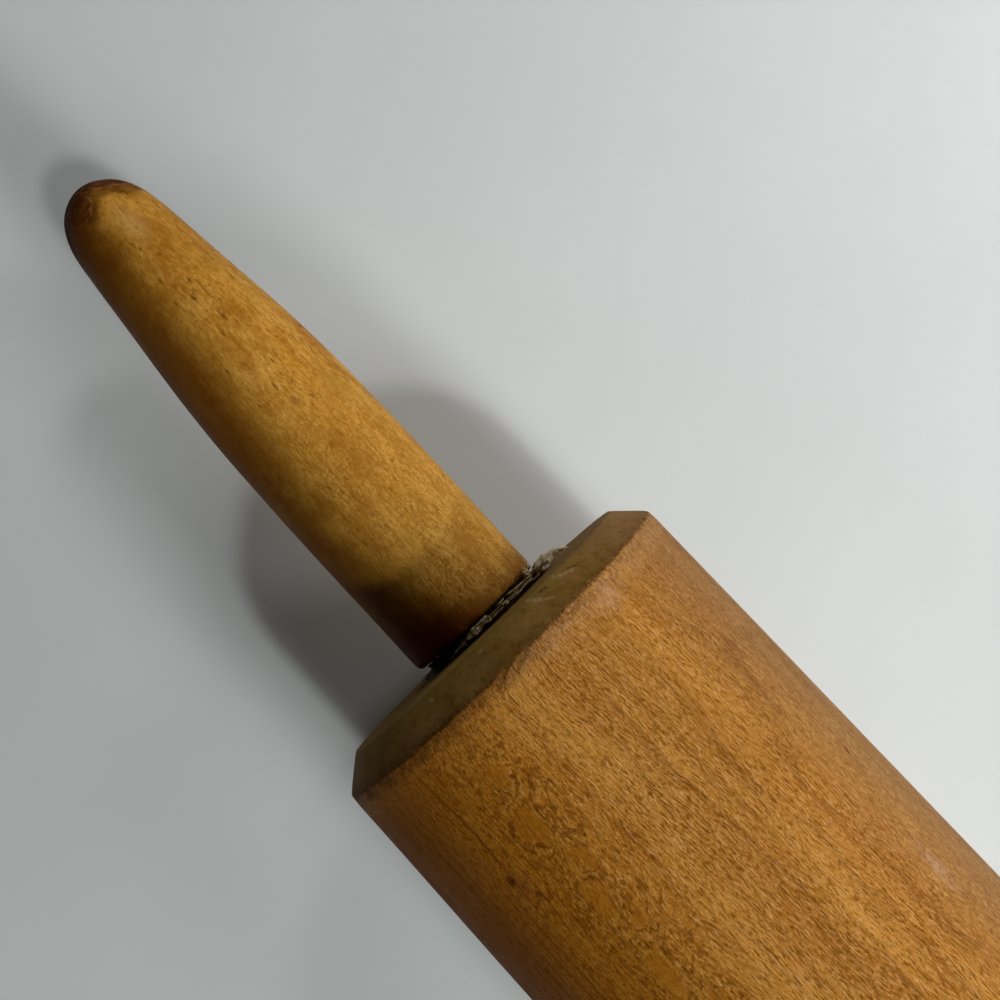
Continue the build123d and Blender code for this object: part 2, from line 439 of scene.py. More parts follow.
def lump(at, size, lean, seed, out, tone, fold=0.5):
    """A crumb: at is (theta, radius, depth), size is (round, radial, along), all mm
    but theta. fold deepens its creases."""
    nu, nv = 26, 16
    v, f = [], []
    U, V = np.meshgrid(np.arange(nu) * 2 * np.pi / nu, np.linspace(0, np.pi, nv), indexing="ij")
    p = np.stack([np.sin(V) * np.cos(U), np.cos(V), np.sin(V) * np.sin(U)], 2).reshape(-1, 3)
    amp = 1 + fold * fbm(p * 1.7 + seed * 3.1, 3, seed) - 0.5 * fold * np.abs(noise3(p * 4.1, seed + 2))
    p = p * amp[:, None] * np.array(size)
    c_, s_ = math.cos(lean), math.sin(lean)
    p = np.stack([p[:, 0], p[:, 1] * c_ - p[:, 2] * s_, p[:, 1] * s_ + p[:, 2] * c_], 1)
    th = math.radians(at[0])
    rad = at[1] + p[:, 1]
    y = rad * math.sin(th) + p[:, 0] * math.cos(th)
    z = rad * math.cos(th) - p[:, 0] * math.sin(th)
    x = np.maximum(at[2] + p[:, 2], 0.03)
    v = np.stack([out * (HALF + x), y, z + AXIS_H], 1)
    for i in range(nu):
        for j in range(nv - 1):
            i2 = (i + 1) % nu
            q = (i * nv + j, i2 * nv + j, i2 * nv + j + 1, i * nv + j + 1)
            if j == 0:
                q = (0, q[2], q[3])
            elif j == nv - 2:
                q = (q[0], q[1], nv - 1)
            f.append(q)
    t = tone + 0.5 * (amp - 1)
    return v, f, t


def crust(name, out, parts):
    v, f, tone, base = [], [], [], 0
    for pv, pf, pt in parts:
        f += [tuple(int(i) + base for i in q) for q in pf]
        v.append(pv)
        tone.append(pt)
        base += len(pv)
    v = np.vstack(v)
    me = bpy.data.meshes.new(name)
    me.from_pydata((v * MM).tolist(), [], f)
    me.polygons.foreach_set("use_smooth", np.ones(len(me.polygons), bool))
    me.update()
    put(me, "tone", np.concatenate(tone))
    bm = bmesh.new()
    bm.from_mesh(me)
    bmesh.ops.delete(bm, geom=[x for x in bm.verts if not x.link_faces], context="VERTS")
    bmesh.ops.recalc_face_normals(bm, faces=bm.faces)
    bm.to_mesh(me)
    bm.free()
    ob = bpy.data.objects.new(name, me)
    bpy.context.scene.collection.objects.link(ob)
    return ob


left_ring = packed(
    "left", -1, -96, 112,
    plates=[
        (4.0, 34.0, 0.52, 1.40, 13.9, 0.40),
        (28.0, 66.0, 0.55, 1.45, 13.9, 0.36),
        (-12.5, 6.5, 0.50, 1.62, 14.4, 0.52),
        (17.0, 23.0, 0.55, 1.20, 14.4, 0.55),
        (-27.0, -17.0, 0.42, 0.95, 13.9, 0.42),
        (-72.0, -58.0, 0.45, 1.15, 13.6, 0.30),
        (60.0, 84.0, 0.50, 1.60, 14.4, 0.60),
        (88.0, 104.0, 0.40, 1.30, 13.2, 0.30),
    ],
    strands=[
        ([(16, 1.60), (26, 1.60), (40, 1.48), (58, 1.25), (78, 1.05)], 0.19, 14.8, 0.70),
        ([(8, 0.66), (22, 0.62), (32, 0.68), (44, 0.82), (60, 1.0)], 0.16, 14.6, 0.66),
        ([(-8, 1.66), (5, 1.66)], 0.14, 14.9, 0.98),
        ([(-24, 0.7), (-14, 0.85)], 0.13, 14.0, 0.62),
        ([(30, 1.15), (50, 1.2)], 0.12, 13.4, 0.35),
    ],
    seed=11,
)
left_bits = [
    lump((60, 16.6, 1.25), (1.7, 2.1, 0.80), 0.22, 3, -1, 1.22, 0.72),
    lump((66, 18.3, 1.45), (1.4, 1.6, 0.60), -0.35, 5, -1, 1.26, 0.85),
    lump((57, 15.4, 1.55), (0.7, 0.9, 0.40), 0.6, 8, -1, 0.70, 0.8),
    lump((48, 14.9, 2.1), (0.8, 0.40, 0.70), 0.2, 12, -1, 0.72, 0.6),
    lump((55, 14.8, 2.5), (0.5, 0.32, 0.55), -0.3, 14, -1, 0.80, 0.6),
    lump((-8, 14.4, 1.0), (1.0, 0.40, 0.50), 0.1, 17, -1, 0.75, 0.6),
    lump((20, 14.6, 0.9), (0.35, 0.35, 0.28), 0.1, 19, -1, 0.80, 0.7),
    lump((-18, 14.0, 0.6), (0.5, 0.3, 0.25), 0.0, 23, -1, 0.60, 0.7),
    lump((-66, 14.4, 0.7), (0.9, 0.5, 0.45), 0.3, 29, -1, 0.35, 0.8),
]
right_ring = packed(
    "right", 1, -70, 84,
    plates=[
        (-30.0, -12.0, 0.45, 1.45, 14.0, 0.45),
        (24.0, 52.0, 0.50, 1.35, 14.1, 0.55),
    ],
    strands=[
        ([(-8, 1.5), (8, 1.3), (22, 1.1)], 0.18, 14.1, 0.70),
        ([(-44, 0.7), (-32, 0.9)], 0.15, 13.8, 0.50),
        ([(40, 1.55), (66, 1.2)], 0.16, 14.2, 0.75),
    ],
    seed=41,
)
right_bits = [
    lump((36, 14.6, 1.0), (0.9, 0.45, 0.40), 0.2, 43, 1, 0.75, 0.8),
    lump((-21, 14.3, 0.9), (0.7, 0.4, 0.35), -0.2, 47, 1, 0.60, 0.8),
]
dough = {
    "left": crust("left_dried_dough", -1, [left_ring] + left_bits),
    "right": crust("right_dried_dough", 1, [right_ring] + right_bits),
}


# ---------------------------------------------------------------------------
# Node helpers
# ---------------------------------------------------------------------------
class Tree:
    def __init__(self, name):
        self.mat = bpy.data.materials.new(name)
        self.mat.use_nodes = True
        self.t = self.mat.node_tree
        self.t.nodes.clear()
        self.out = self.t.nodes.new("ShaderNodeOutputMaterial")
        self.bsdf = self.t.nodes.new("ShaderNodeBsdfPrincipled")
        self.t.links.new(self.bsdf.outputs[0], self.out.inputs[0])
        tc = self.t.nodes.new("ShaderNodeTexCoord")
        mm = self.t.nodes.new("ShaderNodeVectorMath")
        mm.operation = "MULTIPLY_ADD"
        self.t.links.new(tc.outputs["Object"], mm.inputs[0])
        mm.inputs[1].default_value = (1000, 1000, 1000)
        mm.inputs[2].default_value = (0, 0, -AXIS_H)
        self.p = mm.outputs[0]  # mm, from the middle of the turning axis
        self.x, self.y, self.z = self.split(self.p)

    def new(self, kind):
        return self.t.nodes.new(kind)

    def set(self, socket, value):
        if isinstance(value, bpy.types.NodeSocket):
            self.t.links.new(value, socket)
        elif isinstance(value, (tuple, list)) and len(value) == 3 and socket.type == "RGBA":
            socket.default_value = (*value, 1.0)
        else:
            socket.default_value = value

    def split(self, v):
        n = self.new("ShaderNodeSeparateXYZ")
        self.set(n.inputs[0], v)
        return n.outputs[0], n.outputs[1], n.outputs[2]

    def join(self, x, y, z):
        n = self.new("ShaderNodeCombineXYZ")
        for s, v in zip(n.inputs, (x, y, z)):
            self.set(s, v)
        return n.outputs[0]

    def m(self, op, a, b=0.0, c=0.0, clamp=False):
        n = self.new("ShaderNodeMath")
        n.operation = op
        n.use_clamp = clamp
        self.set(n.inputs[0], a)
        self.set(n.inputs[1], b)
        self.set(n.inputs[2], c)
        return n.outputs[0]

    def add(self, a, b):
        return self.m("ADD", a, b)

    def sub(self, a, b):
        return self.m("SUBTRACT", a, b)

    def mul(self, a, b):
        return self.m("MULTIPLY", a, b)

    def v(self, op, a, b=(0, 0, 0)):
        n = self.new("ShaderNodeVectorMath")
        n.operation = op
        self.set(n.inputs[0], a)
        if op == "SCALE":
            self.set(n.inputs["Scale"], b)
        elif op != "LENGTH":
            self.set(n.inputs[1], b)
        return n.outputs["Value"] if op in ("LENGTH", "DOT_PRODUCT") else n.outputs[0]

    def ramp(self, x, a, b, lo=0.0, hi=1.0, kind="SMOOTHSTEP"):
        n = self.new("ShaderNodeMapRange")
        n.interpolation_type = kind
        self.set(n.inputs[0], x)
        for s, val in zip(n.inputs[1:5], (a, b, lo, hi)):
            self.set(s, val)
        return n.outputs[0]

    def noise(self, vec, scale=1.0, detail=2.0, rough=0.5, dist=0.0, color=False):
        n = self.new("ShaderNodeTexNoise")
        n.noise_dimensions = "3D"
        self.set(n.inputs["Vector"], vec)
        self.set(n.inputs["Scale"], scale)
        self.set(n.inputs["Detail"], detail)
        self.set(n.inputs["Roughness"], rough)
        self.set(n.inputs["Distortion"], dist)
        return n.outputs["Color" if color else 0]

    def voronoi(self, vec, scale=1.0, rand=1.0, feature="F1", out="Distance", smooth=0.0):
        n = self.new("ShaderNodeTexVoronoi")
        n.voronoi_dimensions = "3D"
        n.feature = feature
        self.set(n.inputs["Vector"], vec)
        self.set(n.inputs["Scale"], scale)
        self.set(n.inputs["Randomness"], rand)
        if feature == "SMOOTH_F1":
            self.set(n.inputs["Smoothness"], smooth)
        return n.outputs[out] if out else n

    def mix(self, f, a, b, mode="MIX"):
        n = self.new("ShaderNodeMix")
        n.data_type = "RGBA"
        n.blend_type = mode
        n.clamp_factor = True
        self.set(n.inputs[0], f)
        self.set(n.inputs[6], a)
        self.set(n.inputs[7], b)
        return n.outputs[2]

    def attr(self, name):
        n = self.new("ShaderNodeAttribute")
        n.attribute_name = name
        return n.outputs["Fac"]

    def scaled(self, sx, sy, sz, vec=None):
        return self.v("MULTIPLY", self.p if vec is None else vec, (sx, sy, sz))

    def spot(self, at, size, turn=0.0, vec=None, inner=0.35):
        """1 inside an ellipsoid at a point in mm, fading to 0 at its edge."""
        n = self.new("ShaderNodeMapping")
        n.vector_type = "TEXTURE"
        self.set(n.inputs["Vector"], self.p if vec is None else vec)
        n.inputs["Location"].default_value = at
        n.inputs["Rotation"].default_value = (turn[0], turn[1], turn[2]) if isinstance(turn, tuple) else (0, 0, turn)
        n.inputs["Scale"].default_value = size
        return self.ramp(self.v("LENGTH", n.outputs[0]), 1.0, inner)

    def reach(self, at, size, vec):
        """Distance from a point in mm, counted in units of size along each axis."""
        v = self.v("SUBTRACT", vec, at)
        return self.v("LENGTH", self.v("DIVIDE", v, size))

    def most(self, values):
        out = values[0]
        for v_ in values[1:]:
            out = self.m("MAXIMUM", out, v_)
        return out

    def bump(self, height, distance, strength=1.0, normal=None):
        n = self.new("ShaderNodeBump")
        n.inputs["Strength"].default_value = strength
        n.inputs["Distance"].default_value = distance
        self.set(n.inputs["Height"], height)
        if normal is not None:
            self.set(n.inputs["Normal"], normal)
        return n.outputs[0]

    def finish(self, color, rough, normal=None, **rest):
        self.set(self.bsdf.inputs["Base Color"], color)
        self.set(self.bsdf.inputs["Roughness"], rough)
        if normal is not None:
            self.set(self.bsdf.inputs["Normal"], normal)
        for k, val in rest.items():
            self.bsdf.inputs[k.replace("_", " ")].default_value = val
        return self.mat


def on_barrel(x, theta, r=R):
    a = math.radians(theta)
    return (x, r * math.sin(a), r * math.cos(a))


def grip_r(d):
    return float(np.interp(d, profile[:, 0], profile[:, 1]))


def on_grip(d, theta, side=-1):
    a = math.radians(theta)
    return (side * (BASE + d), grip_r(d) * math.sin(a), grip_r(d) * math.cos(a))


# ---------------------------------------------------------------------------
# Barrel wood
# ---------------------------------------------------------------------------
def barrel_material():
    t = Tree("barrel_wood")
    # slow wander of the grain, then a quick one that makes every stroke crooked
    wob = t.noise(t.scaled(1 / 26, 1 / 16, 1 / 16), 1.0, 2.0, 0.5, color=True)
    g = t.v("ADD", t.p, t.v("SCALE", t.v("SUBTRACT", wob, (0.5, 0.5, 0.5)), 3.4))
    gx, gy, gz = t.split(g)
    fine = t.noise(t.scaled(1 / 1.9, 1 / 0.9, 1 / 0.9), 1.0, 2.0, 0.6, color=True)
    fine = t.v("SUBTRACT", fine, (0.5, 0.5, 0.5))
    gf = t.v("ADD", g, t.v("MULTIPLY", fine, (0.9, 0.62, 0.62)))
    lean = t.join(t.add(gx, t.mul(gy, 0.06)), t.sub(gy, t.mul(gx, 0.06)), gz)
    gs = t.v("ADD", lean, t.v("MULTIPLY", fine, (0.9, 0.11, 0.11)))
    gc = t.v("ADD", lean, t.v("MULTIPLY", fine, (0.7, 0.26, 0.26)))

    # growth rings: nearly flat sheets, cut square at theta -40 and 140
    b = math.radians(50)
    rho = t.add(t.mul(gy, math.sin(b)), t.mul(gz, math.cos(b)))
    tau = t.sub(t.mul(gy, math.cos(b)), t.mul(gz, math.sin(b)))
    rho = t.add(rho, t.mul(t.mul(tau, tau), 1 / 260.0))
    ringn = t.noise(t.join(t.mul(gx, 1 / 60), t.mul(rho, 1 / 7), t.mul(tau, 1 / 30)), 1.0, 3.0, 0.55)
    ring = t.add(t.mul(rho, 1 / 1.9), t.mul(ringn, 2.4))
    ring = t.m("FRACT", ring)
    line = t.mul(t.ramp(ring, 0.74, 0.97), t.ramp(ring, 1.0, 0.985))
    band = t.ramp(ring, 0.0, 1.0, 0.0, 1.0, "LINEAR")

    # how squarely the surface cuts the rings
    r2 = t.m("SQRT", t.add(t.mul(t.y, t.y), t.mul(t.z, t.z)))
    theta_side = lambda deg: t.m("DIVIDE", t.sub(t.mul(t.y, math.cos(math.radians(deg))), t.mul(t.z, math.sin(math.radians(deg)))), r2)
    side = t.m("ABSOLUTE", theta_side(-22))
    edge = t.noise(t.scaled(1 / 9, 1 / 3.5, 1 / 3.5), 1.0, 3.0, 0.6)
    zone = t.ramp(t.add(side, t.mul(t.sub(edge, 0.5), 0.50)), 0.30, 0.10)
    quarter = t.ramp(t.m("ABSOLUTE", theta_side(-50)), 0.50, 0.20)

    # crooked strokes along the grain
    fibres = t.noise(t.v("MULTIPLY", gs, (1 / 7.0, 1 / 0.26, 1 / 0.26)), 1.0, 1.5, 0.5)
    dashes = t.noise(t.v("MULTIPLY", gs, (1 / 1.05, 1 / 0.24, 1 / 0.24)), 1.0, 2.5, 0.66)
    stroke = t.add(t.mul(fibres, 0.28), t.mul(dashes, 0.72))
    glint = t.noise(t.v("MULTIPLY", t.v("ADD", gs, (31.0, 17.0, 5.0)), (1 / 1.3, 1 / 0.23, 1 / 0.23)), 1.0, 2.0, 0.6)
    sand = t.noise(t.v("MULTIPLY", gs, (1 / 0.42, 1 / 0.20, 1 / 0.20)), 1.0, 2.0, 0.6)
    # where the surface shows the rings side on they turn to curls and smudges
    curl = t.noise(t.v("MULTIPLY", gc, (1 / 1.0, 1 / 0.44, 1 / 0.44)), 1.0, 2.5, 0.60)
    figure = t.mix(t.mul(zone, 0.75), stroke, curl)
    dark_s = t.ramp(figure, 0.490, 0.400)
    pale_s = t.ramp(figure, 0.512, 0.605)
    density = t.noise(t.scaled(1 / 12, 1 / 3.0, 1 / 3.0), 1.0, 3.0, 0.6)
    density = t.ramp(density, 0.34, 0.60, 0.72, 1.0)
    # painted sheen on the side facing the light; it also thins the flecks there
    barrel_painted_sheen = t.mul(t.ramp(theta_side(0), 0.45, 0.88), t.ramp(t.m("DIVIDE", t.z, r2), -0.60, 0.10, 0.35, 1.0))
    density = t.mul(density, t.sub(1.0, t.mul(barrel_painted_sheen, 0.40)))
    density = t.mul(density, t.sub(1.0, t.mul(zone, 0.22)))

    smudge = t.noise(t.v("MULTIPLY", gf, (1 / 1.5, 1 / 1.15, 1 / 1.15)), 1.0, 3.0, 0.55)
    smudge = t.mul(t.ramp(smudge, 0.46, 0.39), zone)
    # plain islands with arcs bent round them: the ones in view, then any
    bent = t.v("ADD", t.p, t.v("SCALE", fine, 1.5))
    bent = t.v("ADD", bent, t.v("SCALE", t.v("SUBTRACT", t.noise(t.scaled(1 / 3, 1 / 3, 1 / 3), 1.0, 2.0, color=True), (0.5, 0.5, 0.5)), 4.4))
    seen = [
        (-113.2, -19.5, 2.3, 1.5), (-105.5, -22.5, 2.9, 1.9), (-98.4, -18.0, 1.9, 1.1),
        (-92.6, -21.5, 2.6, 1.6), (-87.3, -17.5, 1.9, 1.1), (-80.6, -22.0, 2.9, 1.9),
        (-73.6, -17.0, 2.2, 1.3), (-66.0, -22.0, 2.6, 2.0),
    ]
    cd = None
    for x_, th_, l_, w_ in seen:
        one = t.reach(on_barrel(x_, th_), (l_, w_, w_), bent)
        cd = one if cd is None else t.m("MINIMUM", cd, one)
    cell = t.voronoi(t.v("MULTIPLY", bent, (1 / 8.0, 1 / 8.0, 1 / 8.0)), 1.0, 0.9)
    elsewhere = t.ramp(t.x, -62.0, -56.0)
    cd = t.mix(elsewhere, cd, t.mul(cell, 4.0))
    island = t.mul(t.ramp(cd, 1.35, 0.55), t.m("MAXIMUM", zone, t.ramp(t.x, -56.0, -62.0)))
    arcs = t.m("SINE", t.add(t.mul(cd, 12.0), t.mul(edge, 9.0)))
    ringed = t.mul(t.mul(t.ramp(cd, 0.95, 1.2), t.ramp(cd, 2.3, 1.5)), zone)
    broken = t.ramp(t.noise(t.scaled(1 / 2.6, 1 / 2.4, 1 / 2.4), 1.0, 2.0, 0.5), 0.46, 0.54)
    ringed = t.mul(ringed, broken)
    arc_dark = t.mul(t.ramp(arcs, 0.0, 0.8), ringed)
    arc_pale = t.mul(t.ramp(arcs, -0.2, -0.85), ringed)
    dot = t.voronoi(t.v("MULTIPLY", gf, (1 / 1.9, 1 / 1.7, 1 / 1.7)), 1.0, 1.0, out=None)
    dotsize = t.ramp(t.split(dot.outputs["Color"])[0], 0.35, 1.0, 0.01, 0.34, "LINEAR")
    dots = t.mul(t.ramp(t.m("DIVIDE", dot.outputs["Distance"], dotsize), 1.3, 0.5), zone)
    dots = t.mul(dots, t.sub(1.0, island))
    dark_s = t.mul(dark_s, t.sub(1.0, t.mul(island, 0.58)))
    pale_s = t.mul(pale_s, t.sub(1.0, t.mul(island, 0.70)))
    quiet = t.sub(1.0, t.mul(island, 0.75))

    mottle = t.noise(t.scaled(1 / 16, 1 / 8, 1 / 8), 1.0, 3.0, 0.55)
    streak = t.noise(t.v("MULTIPLY", g, (1 / 34, 1 / 1.7, 1 / 1.7)), 1.0, 4.0, 0.6)
    cloud = t.noise(t.scaled(1 / 40, 1 / 22, 1 / 22), 1.0, 2.0, 0.5)

    base = t.mix(t.ramp(mottle, 0.32, 0.68), (0.475, 0.194, 0.023), (0.605, 0.278, 0.046))
    base = t.mix(t.ramp(cloud, 0.40, 0.66, 0.0, 0.45), base, (0.430, 0.145, 0.014))
    base = t.mix(t.ramp(streak, 0.42, 0.66, 0.0, 0.35), base, (0.320, 0.105, 0.007))
    base = t.mix(t.mul(t.ramp(band, 0.1, 1.0), 0.30), base, (0.290, 0.095, 0.006))
    lanes = t.noise(t.v("MULTIPLY", g, (1 / 90, 1 / 4.5, 1 / 4.5)), 1.0, 2.0, 0.5)
    base = t.mix(t.ramp(lanes, 0.54, 0.40, 0.0, 0.34), base, (0.290, 0.098, 0.006))
    base = t.mix(t.ramp(lanes, 0.52, 0.64, 0.0, 0.34), base, (0.600, 0.270, 0.040))
    # painted sheen: the side towards the top right, which faces the light, is painted pinker and paler
    base = t.mix(t.mul(barrel_painted_sheen, 0.72), base, (0.278, 0.148, 0.061))
    base = t.mix(t.mul(zone, 0.26), base, (0.330, 0.108, 0.004))
    base = t.mix(t.mul(island, 0.46), base, (0.345, 0.124, 0.008))
    base = t.mix(t.mul(pale_s, t.mul(density, 0.58)), base, (0.660, 0.335, 0.100))
    base = t.mix(t.mul(t.mul(t.ramp(glint, 0.55, 0.64), quiet), t.mul(density, 0.46)), base, (0.740, 0.420, 0.170))
    base = t.mix(t.mul(quiet, t.ramp(sand, 0.54, 0.66, 0.0, 0.30)), base, (0.700, 0.380, 0.130))
    base = t.mix(t.mul(quiet, t.ramp(sand, 0.46, 0.35, 0.0, 0.36)), base, (0.200, 0.064, 0.004))
    base = t.mix(t.mul(dark_s, t.mul(density, 0.79)), base, (0.150, 0.046, 0.003))
    base = t.mix(t.mul(t.mul(smudge, t.sub(1.0, island)), 0.55), base, (0.160, 0.048, 0.003))
    base = t.mix(t.mul(arc_dark, 0.62), base, (0.160, 0.050, 0.004))
    base = t.mix(t.mul(dots, 0.66), base, (0.170, 0.050, 0.003))
    base = t.mix(t.mul(arc_pale, 0.30), base, (0.600, 0.310, 0.090))
    linek = t.add(t.mul(quarter, 0.56), 0.20)
    linek = t.mul(linek, t.ramp(t.noise(t.scaled(1 / 22, 1 / 3, 1 / 3), 1.0, 2.0), 0.35, 0.6))
    base = t.mix(t.mul(line, linek), base, (0.075, 0.022, 0.004))
    # painted shade: the side turned from the light is painted darker
    barrel_painted_shade = t.mul(t.ramp(theta_side(-27), 0.30, -0.50, 0.0, 0.83), t.ramp(t.m("DIVIDE", t.z, r2), -0.35, 0.15, 0.45, 1.0))
    base = t.mix(barrel_painted_shade, base, (0.128, 0.033, 0.0006))

    # painted shade colour: the side turned from the light is painted yellower
    base = t.mix(t.ramp(theta_side(-27), 0.50, -0.15), base, (1.0, 0.93, 0.40), "MULTIPLY")

    # marks left by use
    soft = t.v("ADD", t.p, t.v("SCALE", t.v("SUBTRACT", t.noise(t.scaled(0.8, 0.8, 0.8), 1.0, 3.0, 0.6, color=True), (0.5, 0.5, 0.5)), 1.1))
    red = t.most([
        t.spot(on_barrel(-99.2, -34.5), (3.8, 3.2, 3.2), vec=soft, inner=0.0),
        t.spot(on_barrel(-122.0, -2.0), (2.4, 2.6, 2.6), vec=soft, inner=0.1),
        t.spot(on_barrel(-122.4, 16.0), (1.8, 4.5, 4.5), vec=soft, inner=0.1),
        t.spot(on_barrel(40.0, 30.0), (6.0, 3.4, 3.4), vec=soft, inner=0.0),
        t.spot(on_barrel(88.0, -40.0), (4.0, 3.0, 3.0), vec=soft, inner=0.0),
        t.spot(on_barrel(-20.0, 120.0), (5.0, 4.0, 4.0), vec=soft, inner=0.0),
    ])
    base = t.mix(t.mul(red, 0.42), base, (0.190, 0.048, 0.010))
    dark = t.most([
        t.spot(on_barrel(-101.1, -36.2), (1.25, 0.85, 0.85), vec=soft, inner=0.35),
        t.spot(on_barrel(-97.5, -32.4), (0.9, 0.7, 0.7), vec=soft, inner=0.1),
        t.spot(on_barrel(-103.0, -47.6), (0.6, 0.45, 0.45), vec=soft, inner=0.2),
        t.spot(on_barrel(-101.2, -15.7), (0.55, 0.4, 0.4), vec=soft, inner=0.2),
        t.spot(on_barrel(-100.2, -14.4), (0.45, 0.4, 0.4), vec=soft, inner=0.2),
        t.spot(on_barrel(-106.4, -25.8), (0.6, 0.5, 0.5), vec=soft, inner=0.2),
        t.spot(on_barrel(-77.8, 50.1), (0.9, 0.5, 0.5), vec=soft, inner=0.3),
        t.spot(on_barrel(12.0, 8.0), (1.4, 0.8, 0.8), vec=soft, inner=0.3),
        t.spot(on_barrel(61.0, -22.0), (1.0, 0.9, 0.9), vec=soft, inner=0.3),
    ])
    base = t.mix(t.mul(dark, 0.75), base, (0.060, 0.014, 0.003))
    # flour-pale rubbed places
    worn = t.most([
        t.spot(on_barrel(-59.5, 43.0), (7.0, 2.4, 2.4), vec=soft, inner=0.0),
        t.spot(on_barrel(-119.6, 26.0), (3.4, 3.6, 3.6), vec=soft, inner=0.0),
        t.spot(on_barrel(30.0, -8.0), (9.0, 3.0, 3.0), vec=soft, inner=0.0),
        t.spot(on_barrel(75.0, 48.0), (7.0, 3.0, 3.0), vec=soft, inner=0.0),
    ])
    scuff = t.ramp(t.noise(t.scaled(1 / 1.6, 1 / 0.8, 1 / 0.8), 1.0, 4.0, 0.7), 0.42, 0.64)
    worn = t.mul(worn, t.ramp(scuff, 0.0, 1.0, 0.25, 1.0))
    base = t.mix(t.mul(worn, 0.78), base, (0.580, 0.350, 0.215))
    # worn, darkened strip where the rolling surface meets the bevel
    ax = t.m("ABSOLUTE", t.x)
    torn = t.noise(t.scaled(1 / 1.5, 1 / 1.3, 1 / 1.3), 1.0, 4.0, 0.7)
    wornedge = t.add(ax, t.mul(t.sub(torn, 0.5), 5.0))
    strip = t.ramp(wornedge, 119.6, 122.0)
    base = t.mix(t.ramp(t.add(ax, t.mul(t.sub(torn, 0.5), 7.0)), 113.0, 120.0, 0.0, 0.20), base, (0.290, 0.105, 0.014))
    # partly wear and partly painted shade: the strip is painted darker on the side turned from the light
    base = t.mix(t.mul(strip, t.ramp(theta_side(0), 0.45, -0.10, 0.12, 0.62)), base, (0.120, 0.042, 0.006))
    fibre = t.noise(t.scaled(1 / 0.9, 1 / 0.35, 1 / 0.35), 1.0, 3.0, 0.7)
    pale_fibre = t.mul(t.mul(t.ramp(t.add(ax, t.mul(t.sub(torn, 0.5), 8.0)), 117.5, 121.5), t.ramp(fibre, 0.50, 0.60)), t.sub(1.0, t.mul(t.attr("bevel"), 0.8)))
    pale_fibre = t.mul(pale_fibre, t.ramp(theta_side(10), -0.35, 0.10, 0.25, 1.0))
    base = t.mix(t.mul(pale_fibre, 0.60), base, (0.620, 0.350, 0.140))
    scraped = t.mul(t.ramp(t.add(ax, t.mul(t.sub(edge, 0.5), 9.0)), 117.0, 121.0), t.ramp(theta_side(0), -0.15, 0.15))
    base = t.mix(t.mul(scraped, t.ramp(torn, 0.40, 0.60, 0.05, 0.30)), base, (0.600, 0.320, 0.130))

    # bevel and end face: grey-olive, end grain closed with old oil and flour
    crumble = t.noise(t.scaled(1 / 0.7, 1 / 0.5, 1 / 0.5), 1.0, 3.0, 0.7)
    bevel = t.ramp(t.add(t.attr("bevel"), t.mul(t.sub(crumble, 0.5), 1.3)), 0.44, 0.56)
    speck = t.voronoi(t.scaled(1 / 0.75, 1 / 0.75, 1 / 0.75), 1.0, 1.0, out=None)
    speck1 = t.ramp(t.m("DIVIDE", speck.outputs["Distance"], t.ramp(t.split(speck.outputs["Color"])[0], 0.45, 1.0, 0.01, 0.42, "LINEAR")), 1.1, 0.7)
    bm = t.noise(t.scaled(1 / 6, 1 / 6, 1 / 6), 1.0, 4.0, 0.6)
    grit = t.noise(t.scaled(1 / 0.6, 1 / 0.6, 1 / 0.6), 1.0, 3.0, 0.65)
    blot = t.noise(t.scaled(1 / 1.5, 1 / 1.5, 1 / 1.5), 1.0, 4.0, 0.65)
    olive = t.mix(t.ramp(bm, 0.34, 0.66), (0.305, 0.154, 0.028), (0.405, 0.230, 0.060))
    # a greener, paler strip beside the end face
    depth = t.add(ax, t.mul(t.sub(blot, 0.5), 1.6))
    green = t.ramp(depth, 125.2, 126.2)
    olive = t.mix(t.mul(green, 0.52), olive, (0.360, 0.225, 0.048))
    # brown where it turns to the light
    olive = t.mix(t.ramp(theta_side(0), 0.35, 0.75, 0.0, 0.6), olive, (0.315, 0.158, 0.060))
    # painted shade: the bevel is painted darker on the side turned from the light
    olive = t.mix(t.ramp(theta_side(-20), -0.10, -0.45, 0.0, 0.6), olive, (0.160, 0.066, 0.002))
    olive = t.mix(t.ramp(grit, 0.52, 0.68, 0.0, 0.35), olive, (0.120, 0.052, 0.006))
    olive = t.mix(t.ramp(blot, 0.44, 0.34, 0.0, 0.35), olive, (0.130, 0.062, 0.006))
    olive = t.mix(t.mul(speck1, 0.30), olive, (0.34, 0.24, 0.10))
    nearbody = t.ramp(t.add(ax, t.mul(t.sub(torn, 0.5), 3.0)), 124.2, 121.6)
    olive = t.mix(t.mul(nearbody, 0.55), olive, (0.120, 0.046, 0.006))
    bevel_at = lambda dx, deg: (-HALF + dx, (30 + dx * 5 / 4.6) * math.sin(math.radians(deg)), (30 + dx * 5 / 4.6) * math.cos(math.radians(deg)))
    jog = t.v("ADD", t.p, t.v("SCALE", t.v("SUBTRACT", t.noise(t.scaled(1 / 1.2, 1 / 1.2, 1 / 1.2), 1.0, 3.0, 0.6, color=True), (0.5, 0.5, 0.5)), 1.8))
    drag = [t.spot(bevel_at(*w), (0.72, 0.72, 0.72), vec=jog, inner=0.1) for w in
            ((0.4, 13.0), (0.85, 14.0), (1.3, 15.0), (1.8, 16.0), (2.3, 17.0), (0.6, 23.0), (0.95, 24.3), (1.3, 25.7), (1.7, 27.0))]
    drag += [t.spot(bevel_at(0.8, -5.0), (0.6, 0.7, 0.6), vec=jog, inner=0.2), t.spot(bevel_at(1.1, -23.0), (0.6, 0.6, 0.6), vec=jog, inner=0.2)]
